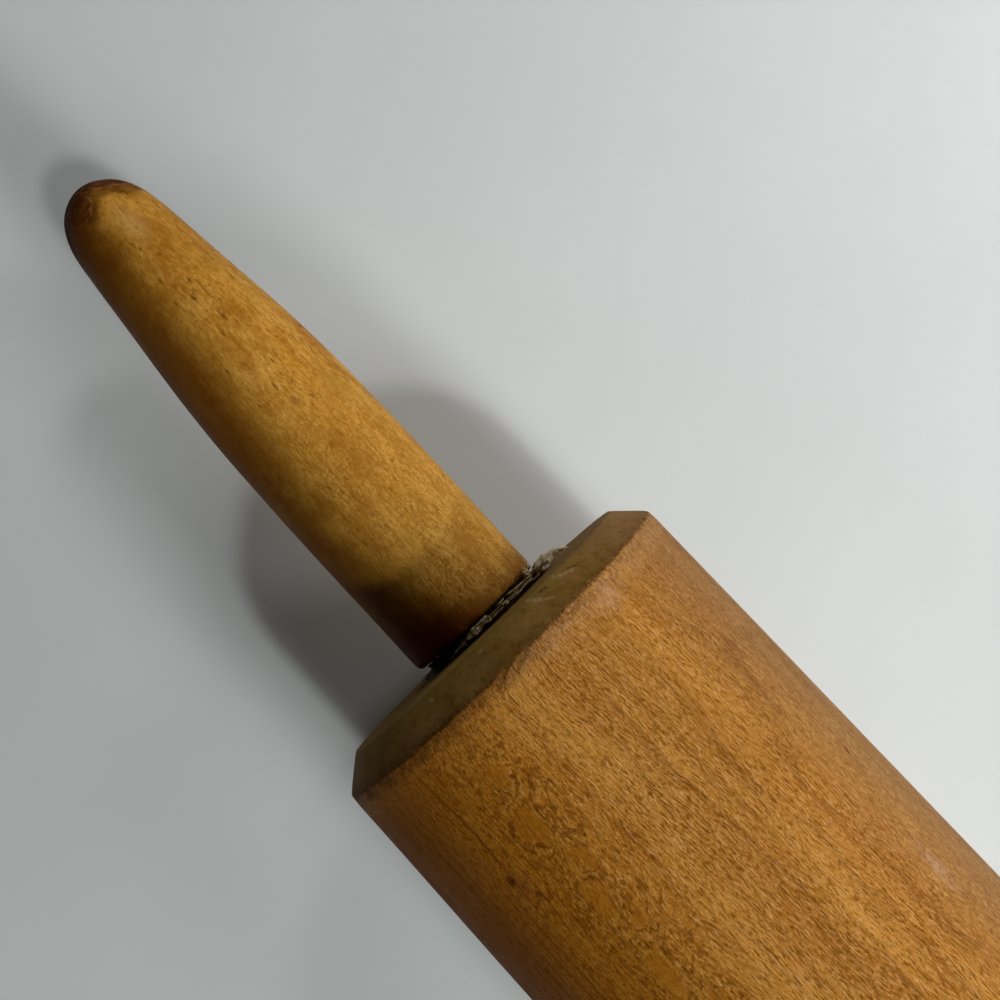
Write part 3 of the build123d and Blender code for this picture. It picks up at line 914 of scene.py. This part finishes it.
    chalk = t.mul(t.most(drag), t.ramp(t.noise(t.scaled(1 / 0.7, 1 / 0.7, 1 / 0.7), 1.0, 3.0, 0.6), 0.30, 0.50))
    slot = t.most([t.spot(bevel_at(*w), (0.5, 0.6, 0.4), vec=jog, inner=0.3) for w in ((1.5, 29.0), (2.1, 30.2), (0.5, 17.5), (0.9, 18.6))])
    olive = t.mix(t.mul(slot, 0.65), olive, (0.070, 0.032, 0.006))
    olive = t.mix(t.mul(chalk, 0.75), olive, (0.580, 0.400, 0.190))
    face = t.attr("face")
    olive = t.mix(t.mul(face, 0.35), olive, (0.25, 0.175, 0.050))
    # painted shade: the end face is painted near black close round the handle's base, in the gap between the parts
    near = t.ramp(r2, 17.2, 15.8)
    olive = t.mix(t.mul(t.mul(near, face), 0.75), olive, (0.040, 0.022, 0.008))
    color = t.mix(bevel, base, olive)

    # relief
    h = t.mul(t.sub(figure, 0.5), 7.5)
    h = t.add(h, t.mul(t.sub(glint, 0.5), 3.0))
    h = t.add(h, t.mul(smudge, -0.30))
    h = t.add(h, t.mul(t.sub(arc_pale, arc_dark), 0.18))
    h = t.add(h, t.mul(dots, -0.22))
    h = t.add(h, t.mul(line, -0.30))
    h = t.mul(h, t.sub(1.0, t.mul(island, 0.4)))
    h = t.add(h, t.mul(t.sub(fibre, 0.5), t.mul(strip, 4.0)))
    hb = t.add(t.mul(blot, 1.6), t.add(t.mul(grit, 1.2), t.mul(speck1, 0.3)))
    h = t.add(t.mul(h, t.sub(1.0, bevel)), t.mul(hb, bevel))
    h = t.add(h, t.mul(dark, -1.2))
    nrm = t.bump(h, 0.00004, 1.0)
    rough = t.ramp(t.noise(t.scaled(1 / 9, 1 / 4, 1 / 4), 1.0, 4.0, 0.6), 0.3, 0.7, 0.40, 0.54)
    rough = t.add(rough, t.mul(dark_s, 0.15))
    rough = t.add(rough, t.mul(worn, 0.12))
    rough = t.add(rough, t.mul(bevel, 0.10))
    return t.finish(color, rough, nrm, Specular_IOR_Level=0.02)


# ---------------------------------------------------------------------------
# Handle wood: amber varnish, rubbed and darkened by hands, with painted light and painted shade on its sides
# ---------------------------------------------------------------------------
def handle_material(side):
    s = -1 if side == "left" else 1
    t = Tree(side + "_grip_varnish")
    off = (0, 0, 0) if side == "left" else (211.0, 57.0, 33.0)
    q = t.v("ADD", t.p, off)
    wob = t.noise(t.v("MULTIPLY", q, (1 / 18, 1 / 9, 1 / 9)), 1.0, 2.0, 0.5, color=True)
    g = t.v("ADD", q, t.v("SCALE", t.v("SUBTRACT", wob, (0.5, 0.5, 0.5)), 2.6))
    fine = t.noise(t.v("MULTIPLY", q, (1 / 1.5, 1 / 1.3, 1 / 1.3)), 1.0, 2.0, 0.6, color=True)
    fine = t.v("SUBTRACT", fine, (0.5, 0.5, 0.5))
    gf = t.v("ADD", g, t.v("SCALE", fine, 1.1))
    gl = t.v("ADD", g, t.v("MULTIPLY", fine, (1.2, 0.28, 0.28)))
    d = t.sub(t.m("ABSOLUTE", t.x), BASE)  # mm from the base

    mott = t.noise(t.v("MULTIPLY", q, (1 / 6, 1 / 3.6, 1 / 3.6)), 1.0, 4.0, 0.62)
    fleck = t.noise(t.v("MULTIPLY", gl, (1 / 1.5, 1 / 0.62, 1 / 0.62)), 1.0, 3.0, 0.64)
    stroke = t.noise(t.v("MULTIPLY", gl, (1 / 2.2, 1 / 0.46, 1 / 0.46)), 1.0, 2.5, 0.60)
    streak = t.noise(t.v("MULTIPLY", g, (1 / 24, 1 / 1.5, 1 / 1.5)), 1.0, 4.0, 0.6)
    big = t.noise(t.v("MULTIPLY", q, (1 / 22, 1 / 12, 1 / 12)), 1.0, 2.0, 0.5)
    toward = t.ramp(d, 75.0, 12.0, 0.35, 1.0)
    base = t.mix(t.ramp(mott, 0.32, 0.68), (0.470, 0.202, 0.022), (0.715, 0.365, 0.064))
    base = t.mix(t.ramp(big, 0.42, 0.66, 0.0, 0.45), base, (0.540, 0.215, 0.010))
    base = t.mix(t.ramp(streak, 0.46, 0.70, 0.0, 0.42), base, (0.350, 0.130, 0.006))
    base = t.mix(t.ramp(fleck, 0.51, 0.60, 0.0, 0.40), base, (0.290, 0.106, 0.005))
    base = t.mix(t.ramp(fleck, 0.47, 0.38, 0.0, 0.44), base, (0.740, 0.400, 0.090))
    spark = t.noise(t.v("MULTIPLY", gl, (1 / 0.62, 1 / 0.36, 1 / 0.36)), 1.0, 2.0, 0.6)
    base = t.mix(t.mul(t.ramp(spark, 0.56, 0.68), t.ramp(toward, 0.35, 1.0, 0.14, 0.62)), base, (0.820, 0.510, 0.160))
    base = t.mix(t.mul(t.ramp(spark, 0.44, 0.33), t.ramp(toward, 0.35, 1.0, 0.16, 0.50)), base, (0.220, 0.078, 0.005))
    # broad red-brown and olive passages
    ruddy = t.noise(t.v("MULTIPLY", q, (1 / 15, 1 / 7, 1 / 7)), 1.0, 3.0, 0.55)
    base = t.mix(t.ramp(ruddy, 0.53, 0.64, 0.0, 0.44), base, (0.350, 0.114, 0.006))
    base = t.mix(t.ramp(ruddy, 0.44, 0.34, 0.0, 0.30), base, (0.440, 0.230, 0.030))
    # dark strokes in patches
    patchy = t.ramp(t.noise(t.v("MULTIPLY", q, (1 / 11, 1 / 6, 1 / 6)), 1.0, 3.0, 0.6), 0.45, 0.60)
    base = t.mix(t.mul(t.ramp(stroke, 0.44, 0.35), t.ramp(patchy, 0.0, 1.0, 0.20, 0.66)), base, (0.180, 0.062, 0.004))

    # pores and pits, thicker towards the base
    vd = t.voronoi(t.v("MULTIPLY", gf, (1 / 2.3, 1 / 0.95, 1 / 0.95)), 1.0, 1.0, out=None)
    size = t.ramp(t.split(vd.outputs["Color"])[0], 0.55, 1.0, 0.01, 0.20, "LINEAR")
    pore = t.ramp(t.m("DIVIDE", vd.outputs["Distance"], size), 1.2, 0.7)
    vs = t.voronoi(t.v("MULTIPLY", gf, (1 / 0.8, 1 / 0.8, 1 / 0.8)), 1.0, 1.0, out=None)
    ssize = t.ramp(t.split(vs.outputs["Color"])[1], 0.60, 1.0, 0.01, 0.26, "LINEAR")
    tiny = t.ramp(t.m("DIVIDE", vs.outputs["Distance"], ssize), 1.2, 0.7)
    base = t.mix(t.mul(pore, t.mul(toward, 0.46)), base, (0.160, 0.054, 0.005))
    base = t.mix(t.mul(tiny, t.mul(toward, 0.45)), base, (0.120, 0.042, 0.004))
    # small bare dots where the varnish has chipped
    vb = t.voronoi(t.v("MULTIPLY", t.v("ADD", gf, (5.0, 3.0, 9.0)), (1 / 1.6, 1 / 1.4, 1 / 1.4)), 1.0, 1.0, out=None)
    bare = t.ramp(t.m("DIVIDE", vb.outputs["Distance"], t.ramp(t.split(vb.outputs["Color"])[2], 0.80, 1.0, 0.005, 0.16, "LINEAR")), 1.1, 0.8)
    base = t.mix(t.mul(bare, t.mul(toward, 0.55)), base, (0.640, 0.440, 0.190))

    soft = t.v("ADD", t.p, t.v("SCALE", t.v("SUBTRACT", t.noise(t.scaled(0.55, 0.55, 0.55), 1.0, 3.0, 0.6, color=True), (0.5, 0.5, 0.5)), 1.6))
    if side == "left":
        dashes = [(83.3, 12.2, 0.5, 0.3), (75.7, 15.1, 1.1, 0.30), (72.7, 6.9, 1.4, 0.26), (67.0, 14.3, 1.9, 0.36),
                  (64.7, 5.1, 1.7, 0.28), (79.0, -3.4, 0.9, 0.3), (73.8, -6.4, 0.7, 0.3), (51.2, 6.4, 1.2, 0.26),
                  (29.1, 32.8, 0.6, 0.4), (20.6, 27.3, 0.5, 0.40), (20.9, 18.7, 0.5, 0.35), (60.4, 70.9, 1.0, 0.5),
                  (22.1, 66.5, 0.8, 0.45), (74.2, 50.8, 2.6, 0.20), (58.5, -12.0, 0.9, 0.22), (62.0, -3.0, 0.7, 0.2),
                  (69.5, 22.0, 1.0, 0.2), (55.0, 18.0, 0.8, 0.18), (86.0, 3.0, 0.8, 0.2), (90.0, 14.0, 0.5, 0.25)]
        reds = [(47.3, 9.5, 1.4, 1.0), (2.2, 64.0, 1.6, 2.2)]
    else:
        dashes = [(88.0, 24.0, 1.0, 0.3), (64.0, -18.0, 1.6, 0.3), (41.0, 33.0, 1.0, 0.4), (30.0, -40.0, 0.8, 0.4),
                  (52.0, 5.0, 1.4, 0.25), (76.0, 40.0, 1.8, 0.25), (18.0, 15.0, 0.8, 0.4)]
        reds = [(58.0, 20.0, 1.8, 1.3)]
    crooked = t.v("ADD", t.p, t.v("SCALE", fine, 0.6))
    marks = t.most([t.spot(on_grip(a, b_, s), (l * 1.25, w * 1.35, w * 1.35), inner=0.1, vec=crooked) for a, b_, l, w in dashes])
    base = t.mix(t.mul(marks, 0.76), base, (0.110, 0.036, 0.004))
    base = t.mix(t.mul(t.most([t.spot(on_grip(a, b_, s), (l, w, w), vec=soft, inner=0.0) for a, b_, l, w in reds]), 0.60), base, (0.210, 0.058, 0.008))
    # pale hairline scratches
    hair = t.most([t.spot(on_grip(a, b_, s), (l, 0.16, 0.16), (0, 0, w), inner=0.2) for a, b_, l, w in
                   ((55.9, -1.3, 1.6, 0.9), (54.6, -0.2, 1.1, 1.4), (38.0, 22.0, 0.7, -0.4), (12.0, 5.0, 1.2, 0.9), (90.0, 20.0, 1.0, -0.7))])
    base = t.mix(t.mul(hair, 0.45), base, (0.62, 0.44, 0.20))

    # painted highlight: a paler place near the tip
    grip_painted_highlight = t.spot(on_grip(91.0, 16.0, s), (7.5, 3.4, 3.4), vec=soft, inner=0.0)
    base = t.mix(t.mul(grip_painted_highlight, 0.42), base, (0.700, 0.420, 0.160))

    # hand grime and stain at the base and the tip, with painted light and painted shade on the grip's sides
    grn = t.noise(t.v("MULTIPLY", q, (1 / 5, 1 / 5, 1 / 5)), 1.0, 4.0, 0.62)
    gr = t.sub(grn, 0.5)
    c = math.radians(-62 if side == "left" else 150)
    r2 = t.m("SQRT", t.add(t.mul(t.y, t.y), t.mul(t.z, t.z)))
    facing = t.m("DIVIDE", t.add(t.mul(t.y, math.sin(c)), t.mul(t.z, math.cos(c))), t.m("MAXIMUM", r2, 1.0))
    # painted light: the half by the base is painted paler, and the painted shade on the far side is made narrower
    grip_painted_light = t.mul(t.ramp(d, 62.0, 36.0), t.ramp(d, 4.0, 13.0))
    base = t.mix(t.mul(grip_painted_light, 0.14), base, (0.780, 0.400, 0.070))
    turned_away = t.sub(facing, t.mul(grip_painted_light, 0.15))
    # painted shade: the side turned from the light is painted olive at its edge and dark within
    grip_painted_shade_edge = t.mul(t.ramp(t.add(turned_away, t.mul(gr, 0.34)), 0.42, 0.72), t.ramp(turned_away, 1.0, 0.75))
    base = t.mix(t.mul(grip_painted_shade_edge, 0.42), base, (0.320, 0.140, 0.006))
    grip_painted_shade = t.ramp(t.add(turned_away, t.mul(gr, 0.34)), 0.58, 0.90, 0.0, 0.82)
    base = t.mix(grip_painted_shade, base, (0.155, 0.040, 0.002))
    # duller towards the tip
    base = t.mix(t.ramp(t.add(d, t.mul(gr, 7.0)), 52.0, 92.0, 0.0, 0.24), base, (0.300, 0.125, 0.008))
    # a dark stain that climbs from the base on the side turned from the light, partly stain and partly painted shade
    stain_and_painted_shade = t.add(t.sub(t.mul(facing, 18.5), d), t.mul(gr, 12.0))
    browned_and_painted_shade = t.ramp(stain_and_painted_shade, 0.0, 10.0)
    blackened_and_painted_shade = t.ramp(stain_and_painted_shade, 4.5, 15.0)
    # darker within about 4.5 mm of the base
    dark_at_base = t.ramp(t.add(d, t.mul(gr, 7.0)), 4.5, 0.0, 0.0, 0.55)
    base = t.mix(dark_at_base, base, (0.130, 0.046, 0.008))
    base = t.mix(t.mul(browned_and_painted_shade, 0.70), base, (0.185, 0.050, 0.003))
    base = t.mix(t.mul(blackened_and_painted_shade, 0.90), base, (0.095, 0.012, 0.002))
    # the tip, where the varnish is gone and the end grain has gone dark
    edge = t.add(t.attr("tip_stain"), t.mul(t.sub(t.noise(t.v("MULTIPLY", q, (1 / 2.4, 1 / 2.4, 1 / 2.4)), 1.0, 4.0, 0.65), 0.5), 4.4))
    tipn = t.noise(t.v("MULTIPLY", q, (1 / 1.9, 1 / 1.9, 1 / 1.9)), 1.0, 4.0, 0.65)
    tipcol = t.mix(t.ramp(tipn, 0.40, 0.62), (0.100, 0.030, 0.003), (0.230, 0.092, 0.010))
    base = t.mix(t.mul(t.ramp(edge, -1.6, 0.7), 0.84), base, tipcol)
    # scabs of darker stain, with a paler lip on the upper side that is a painted highlight
    c2 = math.radians(30)
    facing2 = t.m("DIVIDE", t.add(t.mul(t.y, math.sin(c2)), t.mul(t.z, math.cos(c2))), t.m("MAXIMUM", r2, 1.0))
    if side == "left":
        scab = t.most([
            t.spot((-231.8, 4.8, 6.2), (2.7, 5.0, 3.9), vec=soft, inner=0.55),
            t.spot((-229.0, -2.9, 8.4), (3.4, 3.6, 2.8), vec=soft, inner=0.45),
            t.spot((-233.6, 0.5, 5.2), (2.2, 5.0, 3.6), vec=soft, inner=0.45),
            t.spot((-229.0, -8.6, 2.6), (3.8, 3.0, 4.6), vec=soft, inner=0.30),
        ])
    else:
        scab = t.most([
            t.spot((233.0, 2.0, 7.0), (2.6, 4.0, 3.0), vec=soft, inner=0.5),
            t.spot((232.4, -6.6, -4.4), (2.2, 3.0, 3.2), vec=soft, inner=0.5),
            t.spot((230.4, 8.2, -2.4), (2.6, 2.2, 4.0), vec=soft, inner=0.3),
        ])
    end = t.ramp(t.add(t.attr("tip_stain"), t.mul(gr, 3.0)), 1.2, 4.6)
    lobes = t.m("MAXIMUM", t.mul(t.ramp(scab, 0.12, 0.60), t.ramp(tipn, 0.30, 0.55, 0.55, 1.0)), end)
    lip = t.mul(t.mul(t.ramp(scab, 0.04, 0.26), t.ramp(scab, 0.62, 0.36)), t.ramp(facing2, -0.1, 0.25))
    dark_tip = t.mix(t.ramp(tipn, 0.42, 0.60), (0.085, 0.019, 0.004), (0.190, 0.058, 0.015))
    base = t.mix(t.mul(lobes, 0.84), base, dark_tip)
    # painted highlight on the scabs' upper lip
    base = t.mix(t.mul(lip, t.ramp(tipn, 0.40, 0.60, 0.1, 0.65)), base, (0.400, 0.160, 0.060))
    # darker brown down the side turned from the light, near the tip and behind the stain
    c3 = math.radians(-58 if side == "left" else 120)
    facing3 = t.m("DIVIDE", t.add(t.mul(t.y, math.sin(c3)), t.mul(t.z, math.cos(c3))), t.m("MAXIMUM", r2, 1.0))
    dark_side_near_tip = t.mul(t.ramp(t.add(facing3, t.mul(gr, 0.36)), 0.36, 0.92), t.ramp(t.add(d, t.mul(gr, 6.0)), 76.0, 99.0))
    base = t.mix(t.mul(dark_side_near_tip, 0.74), base, (0.090, 0.026, 0.003))

    h = t.mul(t.sub(fleck, 0.5), 2.2)
    h = t.add(h, t.mul(t.sub(stroke, 0.5), 1.6))
    h = t.add(h, t.mul(t.noise(t.v("MULTIPLY", q, (1 / 0.55, 1 / 0.4, 1 / 0.4)), 1.0, 3.0, 0.6), 0.6))
    h = t.add(h, t.mul(pore, -0.6))
    h = t.add(h, t.mul(t.mul(tiny, toward), -0.8))
    h = t.add(h, t.mul(marks, -1.4))
    h = t.add(h, t.mul(t.mul(t.ramp(edge, -0.6, 0.9), tipn), 2.2))
    h = t.add(h, t.mul(lip, 0.8))
    h = t.add(h, t.mul(hair, -0.6))
    nrm = t.bump(h, 0.00004, 1.0)
    rough = t.ramp(mott, 0.3, 0.7, 0.34, 0.48)
    rough = t.add(rough, t.mul(lobes, 0.18))
    rough = t.add(rough, t.mul(browned_and_painted_shade, 0.08))
    rough = t.add(rough, t.mul(pore, 0.15))
    return t.finish(base, rough, nrm, Specular_IOR_Level=0.015)


def dough_material():
    t = Tree("dried_dough")
    tone = t.attr("tone")
    n1 = t.noise(t.scaled(1 / 1.1, 1 / 1.1, 1 / 1.1), 1.0, 4.0, 0.65)
    n2 = t.noise(t.scaled(1 / 0.35, 1 / 0.35, 1 / 0.35), 1.0, 3.0, 0.65)
    k = t.add(tone, t.mul(t.sub(n1, 0.5), 0.35))
    col = t.mix(t.ramp(k, 0.18, 0.55), (0.040, 0.018, 0.010), (0.250, 0.165, 0.060))
    col = t.mix(t.ramp(k, 0.55, 1.0), col, (0.620, 0.490, 0.270))
    col = t.mix(t.ramp(k, 1.0, 1.3), col, (0.820, 0.710, 0.480))
    col = t.mix(t.ramp(n2, 0.56, 0.72, 0.0, 0.35), col, (0.060, 0.036, 0.014))
    h = t.add(t.mul(n1, 0.6), n2)
    return t.finish(col, t.ramp(n2, 0.3, 0.7, 0.75, 0.92), t.bump(h, 0.00010, 1.0), Specular_IOR_Level=0.3)


def steel(name, tint, low, high, dull):
    t = Tree(name)
    n1 = t.noise(t.scaled(1 / 3.0, 1 / 0.25, 1 / 0.25), 1.0, 4.0, 0.6)
    n2 = t.noise(t.scaled(1 / 2.4, 1 / 2.4, 1 / 2.4), 1.0, 4.0, 0.65)
    col = t.mix(t.ramp(n2, 0.45, 0.70, 0.0, 0.7), tint, dull)
    col = t.mix(t.ramp(n1, 0.5, 0.7, 0.0, 0.25), col, (0.25, 0.23, 0.20))
    h = t.add(t.mul(n1, 0.5), t.mul(n2, 0.6))
    return t.finish(col, t.ramp(n2, 0.3, 0.7, low, high), t.bump(h, 0.00003, 1.0), Metallic=1.0)


def plastic(name):
    t = Tree(name)
    n1 = t.noise(t.scaled(1 / 2.0, 1 / 2.0, 1 / 2.0), 1.0, 4.0, 0.6)
    n2 = t.noise(t.scaled(1 / 0.4, 1 / 0.4, 1 / 0.4), 1.0, 3.0, 0.6)
    col = t.mix(t.ramp(n1, 0.35, 0.65), (0.40, 0.32, 0.20), (0.52, 0.44, 0.30))
    col = t.mix(t.ramp(n2, 0.55, 0.70, 0.0, 0.6), col, (0.14, 0.09, 0.05))
    return t.finish(col, t.ramp(n1, 0.3, 0.7, 0.45, 0.62), t.bump(t.add(n1, n2), 0.00003, 1.0))


def wear(ob, mat):
    """Put one material on every slot of an object."""
    if not ob.data.materials:
        ob.data.materials.append(None)
    for sl in ob.material_slots:
        sl.link = "OBJECT"
        sl.material = mat


wear(barrel, barrel_material())
for side in ("left", "right"):
    wear(grips[side], handle_material(side))
crumbs = dough_material()
for ob in dough.values():
    wear(ob, crumbs)
wear(nodes["axle_rod"], steel("rod_steel", (0.56, 0.54, 0.50), 0.28, 0.48, (0.20, 0.12, 0.06)))
washer_steel = steel("washer_steel", (0.48, 0.46, 0.42), 0.34, 0.56, (0.16, 0.09, 0.05))
bushing = plastic("bushing_plastic")
for side in ("left", "right"):
    wear(nodes[side + "_washer"], washer_steel)
    wear(nodes[side + "_bushing"], bushing)

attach(barrel, "barrel")
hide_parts("barrel")
for side in ("left", "right"):
    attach(grips[side], "handles")
    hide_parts(side + "_handle")
    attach(dough[side], "barrel")


# ---------------------------------------------------------------------------
# Floor, light, camera
# ---------------------------------------------------------------------------
def floor_material():
    t = Tree("pale_floor")
    n1 = t.noise(t.scaled(1 / 60, 1 / 60, 1 / 60), 1.0, 3.0, 0.5)
    n2 = t.noise(t.scaled(1 / 5, 1 / 5, 1 / 5), 1.0, 4.0, 0.6)
    col = t.mix(t.ramp(n1, 0.3, 0.7), (0.722, 0.766, 0.758), (0.748, 0.789, 0.780))
    col = t.mix(t.ramp(n2, 0.55, 0.75, 0.0, 0.10), col, (0.66, 0.67, 0.67))
    return t.finish(col, t.ramp(n2, 0.3, 0.7, 0.50, 0.62), t.bump(n2, 0.00004, 0.5), Specular_IOR_Level=0.3)


me = bpy.data.meshes.new("floor")
F = 6.0
me.from_pydata([(-F, -F, 0), (F, -F, 0), (F, F, 0), (-F, F, 0)], [], [(0, 1, 2, 3)])
floor = bpy.data.objects.new("floor", me)
bpy.context.scene.collection.objects.link(floor)
wear(floor, floor_material())


def area(name, at, aim, size, watts, color, size_y=None):
    li = bpy.data.lights.new(name, "AREA")
    li.shape = "RECTANGLE" if size_y else "DISK"
    li.size = size
    if size_y:
        li.size_y = size_y
    li.energy = watts
    li.color = color
    ob = bpy.data.objects.new(name, li)
    bpy.context.scene.collection.objects.link(ob)
    at, aim = Vector(at), Vector(aim)
    ob.location = at
    ob.rotation_euler = (aim - at).to_track_quat("-Z", "Y").to_euler()
    ob.visible_camera = False
    return ob


centre = Vector((-0.13, 0.0, 0.0))


def softbox(name, az, el, dist, size, watts, color=(1.0, 1.0, 1.0)):
    """A round soft box, az degrees round from +X towards +Y, el above the floor."""
    a_, e_ = math.radians(az), math.radians(el)
    way = Vector((math.cos(e_) * math.cos(a_), math.cos(e_) * math.sin(a_), math.sin(e_)))
    return area(name, centre + way * dist, centre, size, watts, color)


warm, cool = (1.0, 0.980, 0.978), (0.985, 1.0, 0.996)
softbox("side_front", 60, 25, 0.6, 0.12, 0.55, warm)
softbox("side_low", 90, 25, 0.6, 0.12, 0.66, warm)
softbox("side_high", 60, 45, 0.6, 0.12, 0.27, warm)
softbox("side_back", 120, 45, 0.6, 0.12, 0.41, warm)
softbox("far_low", 2, 25, 2.0, 0.36, 15.4, cool)
softbox("far_high", 1, 47.5, 2.0, 0.15, 7.6, cool)
softbox("key", 6, 48, 0.35, 0.07, 0.215, cool)

world = bpy.data.worlds.new("studio")
world.use_nodes = True
world.node_tree.nodes["Background"].inputs[0].default_value = (0.95, 0.97, 1.0, 1.0)
world.node_tree.nodes["Background"].inputs[1].default_value = 0.004
bpy.context.scene.world = world

cam = bpy.data.cameras.new("camera")
cam.lens = 27.0
cam.sensor_width = 36.0
cam.clip_start = 0.01
cam_ob = bpy.data.objects.new("camera", cam)
bpy.context.scene.collection.objects.link(cam_ob)
right_v = Vector((0.68378161, 0.72827733, 0.04533030))
down_v = Vector((0.72621470, -0.67316056, -0.13952445))
ahead_v = Vector((-0.07109792, 0.12832378, -0.98918052))
rot = Matrix((right_v, -down_v, -ahead_v)).transposed().to_4x4()
cam_ob.matrix_world = Matrix.Translation((-0.1320052, 0.0, 0.1701456)) @ rot
bpy.context.scene.camera = cam_ob
bpy.context.scene.view_settings.view_transform = "Standard"
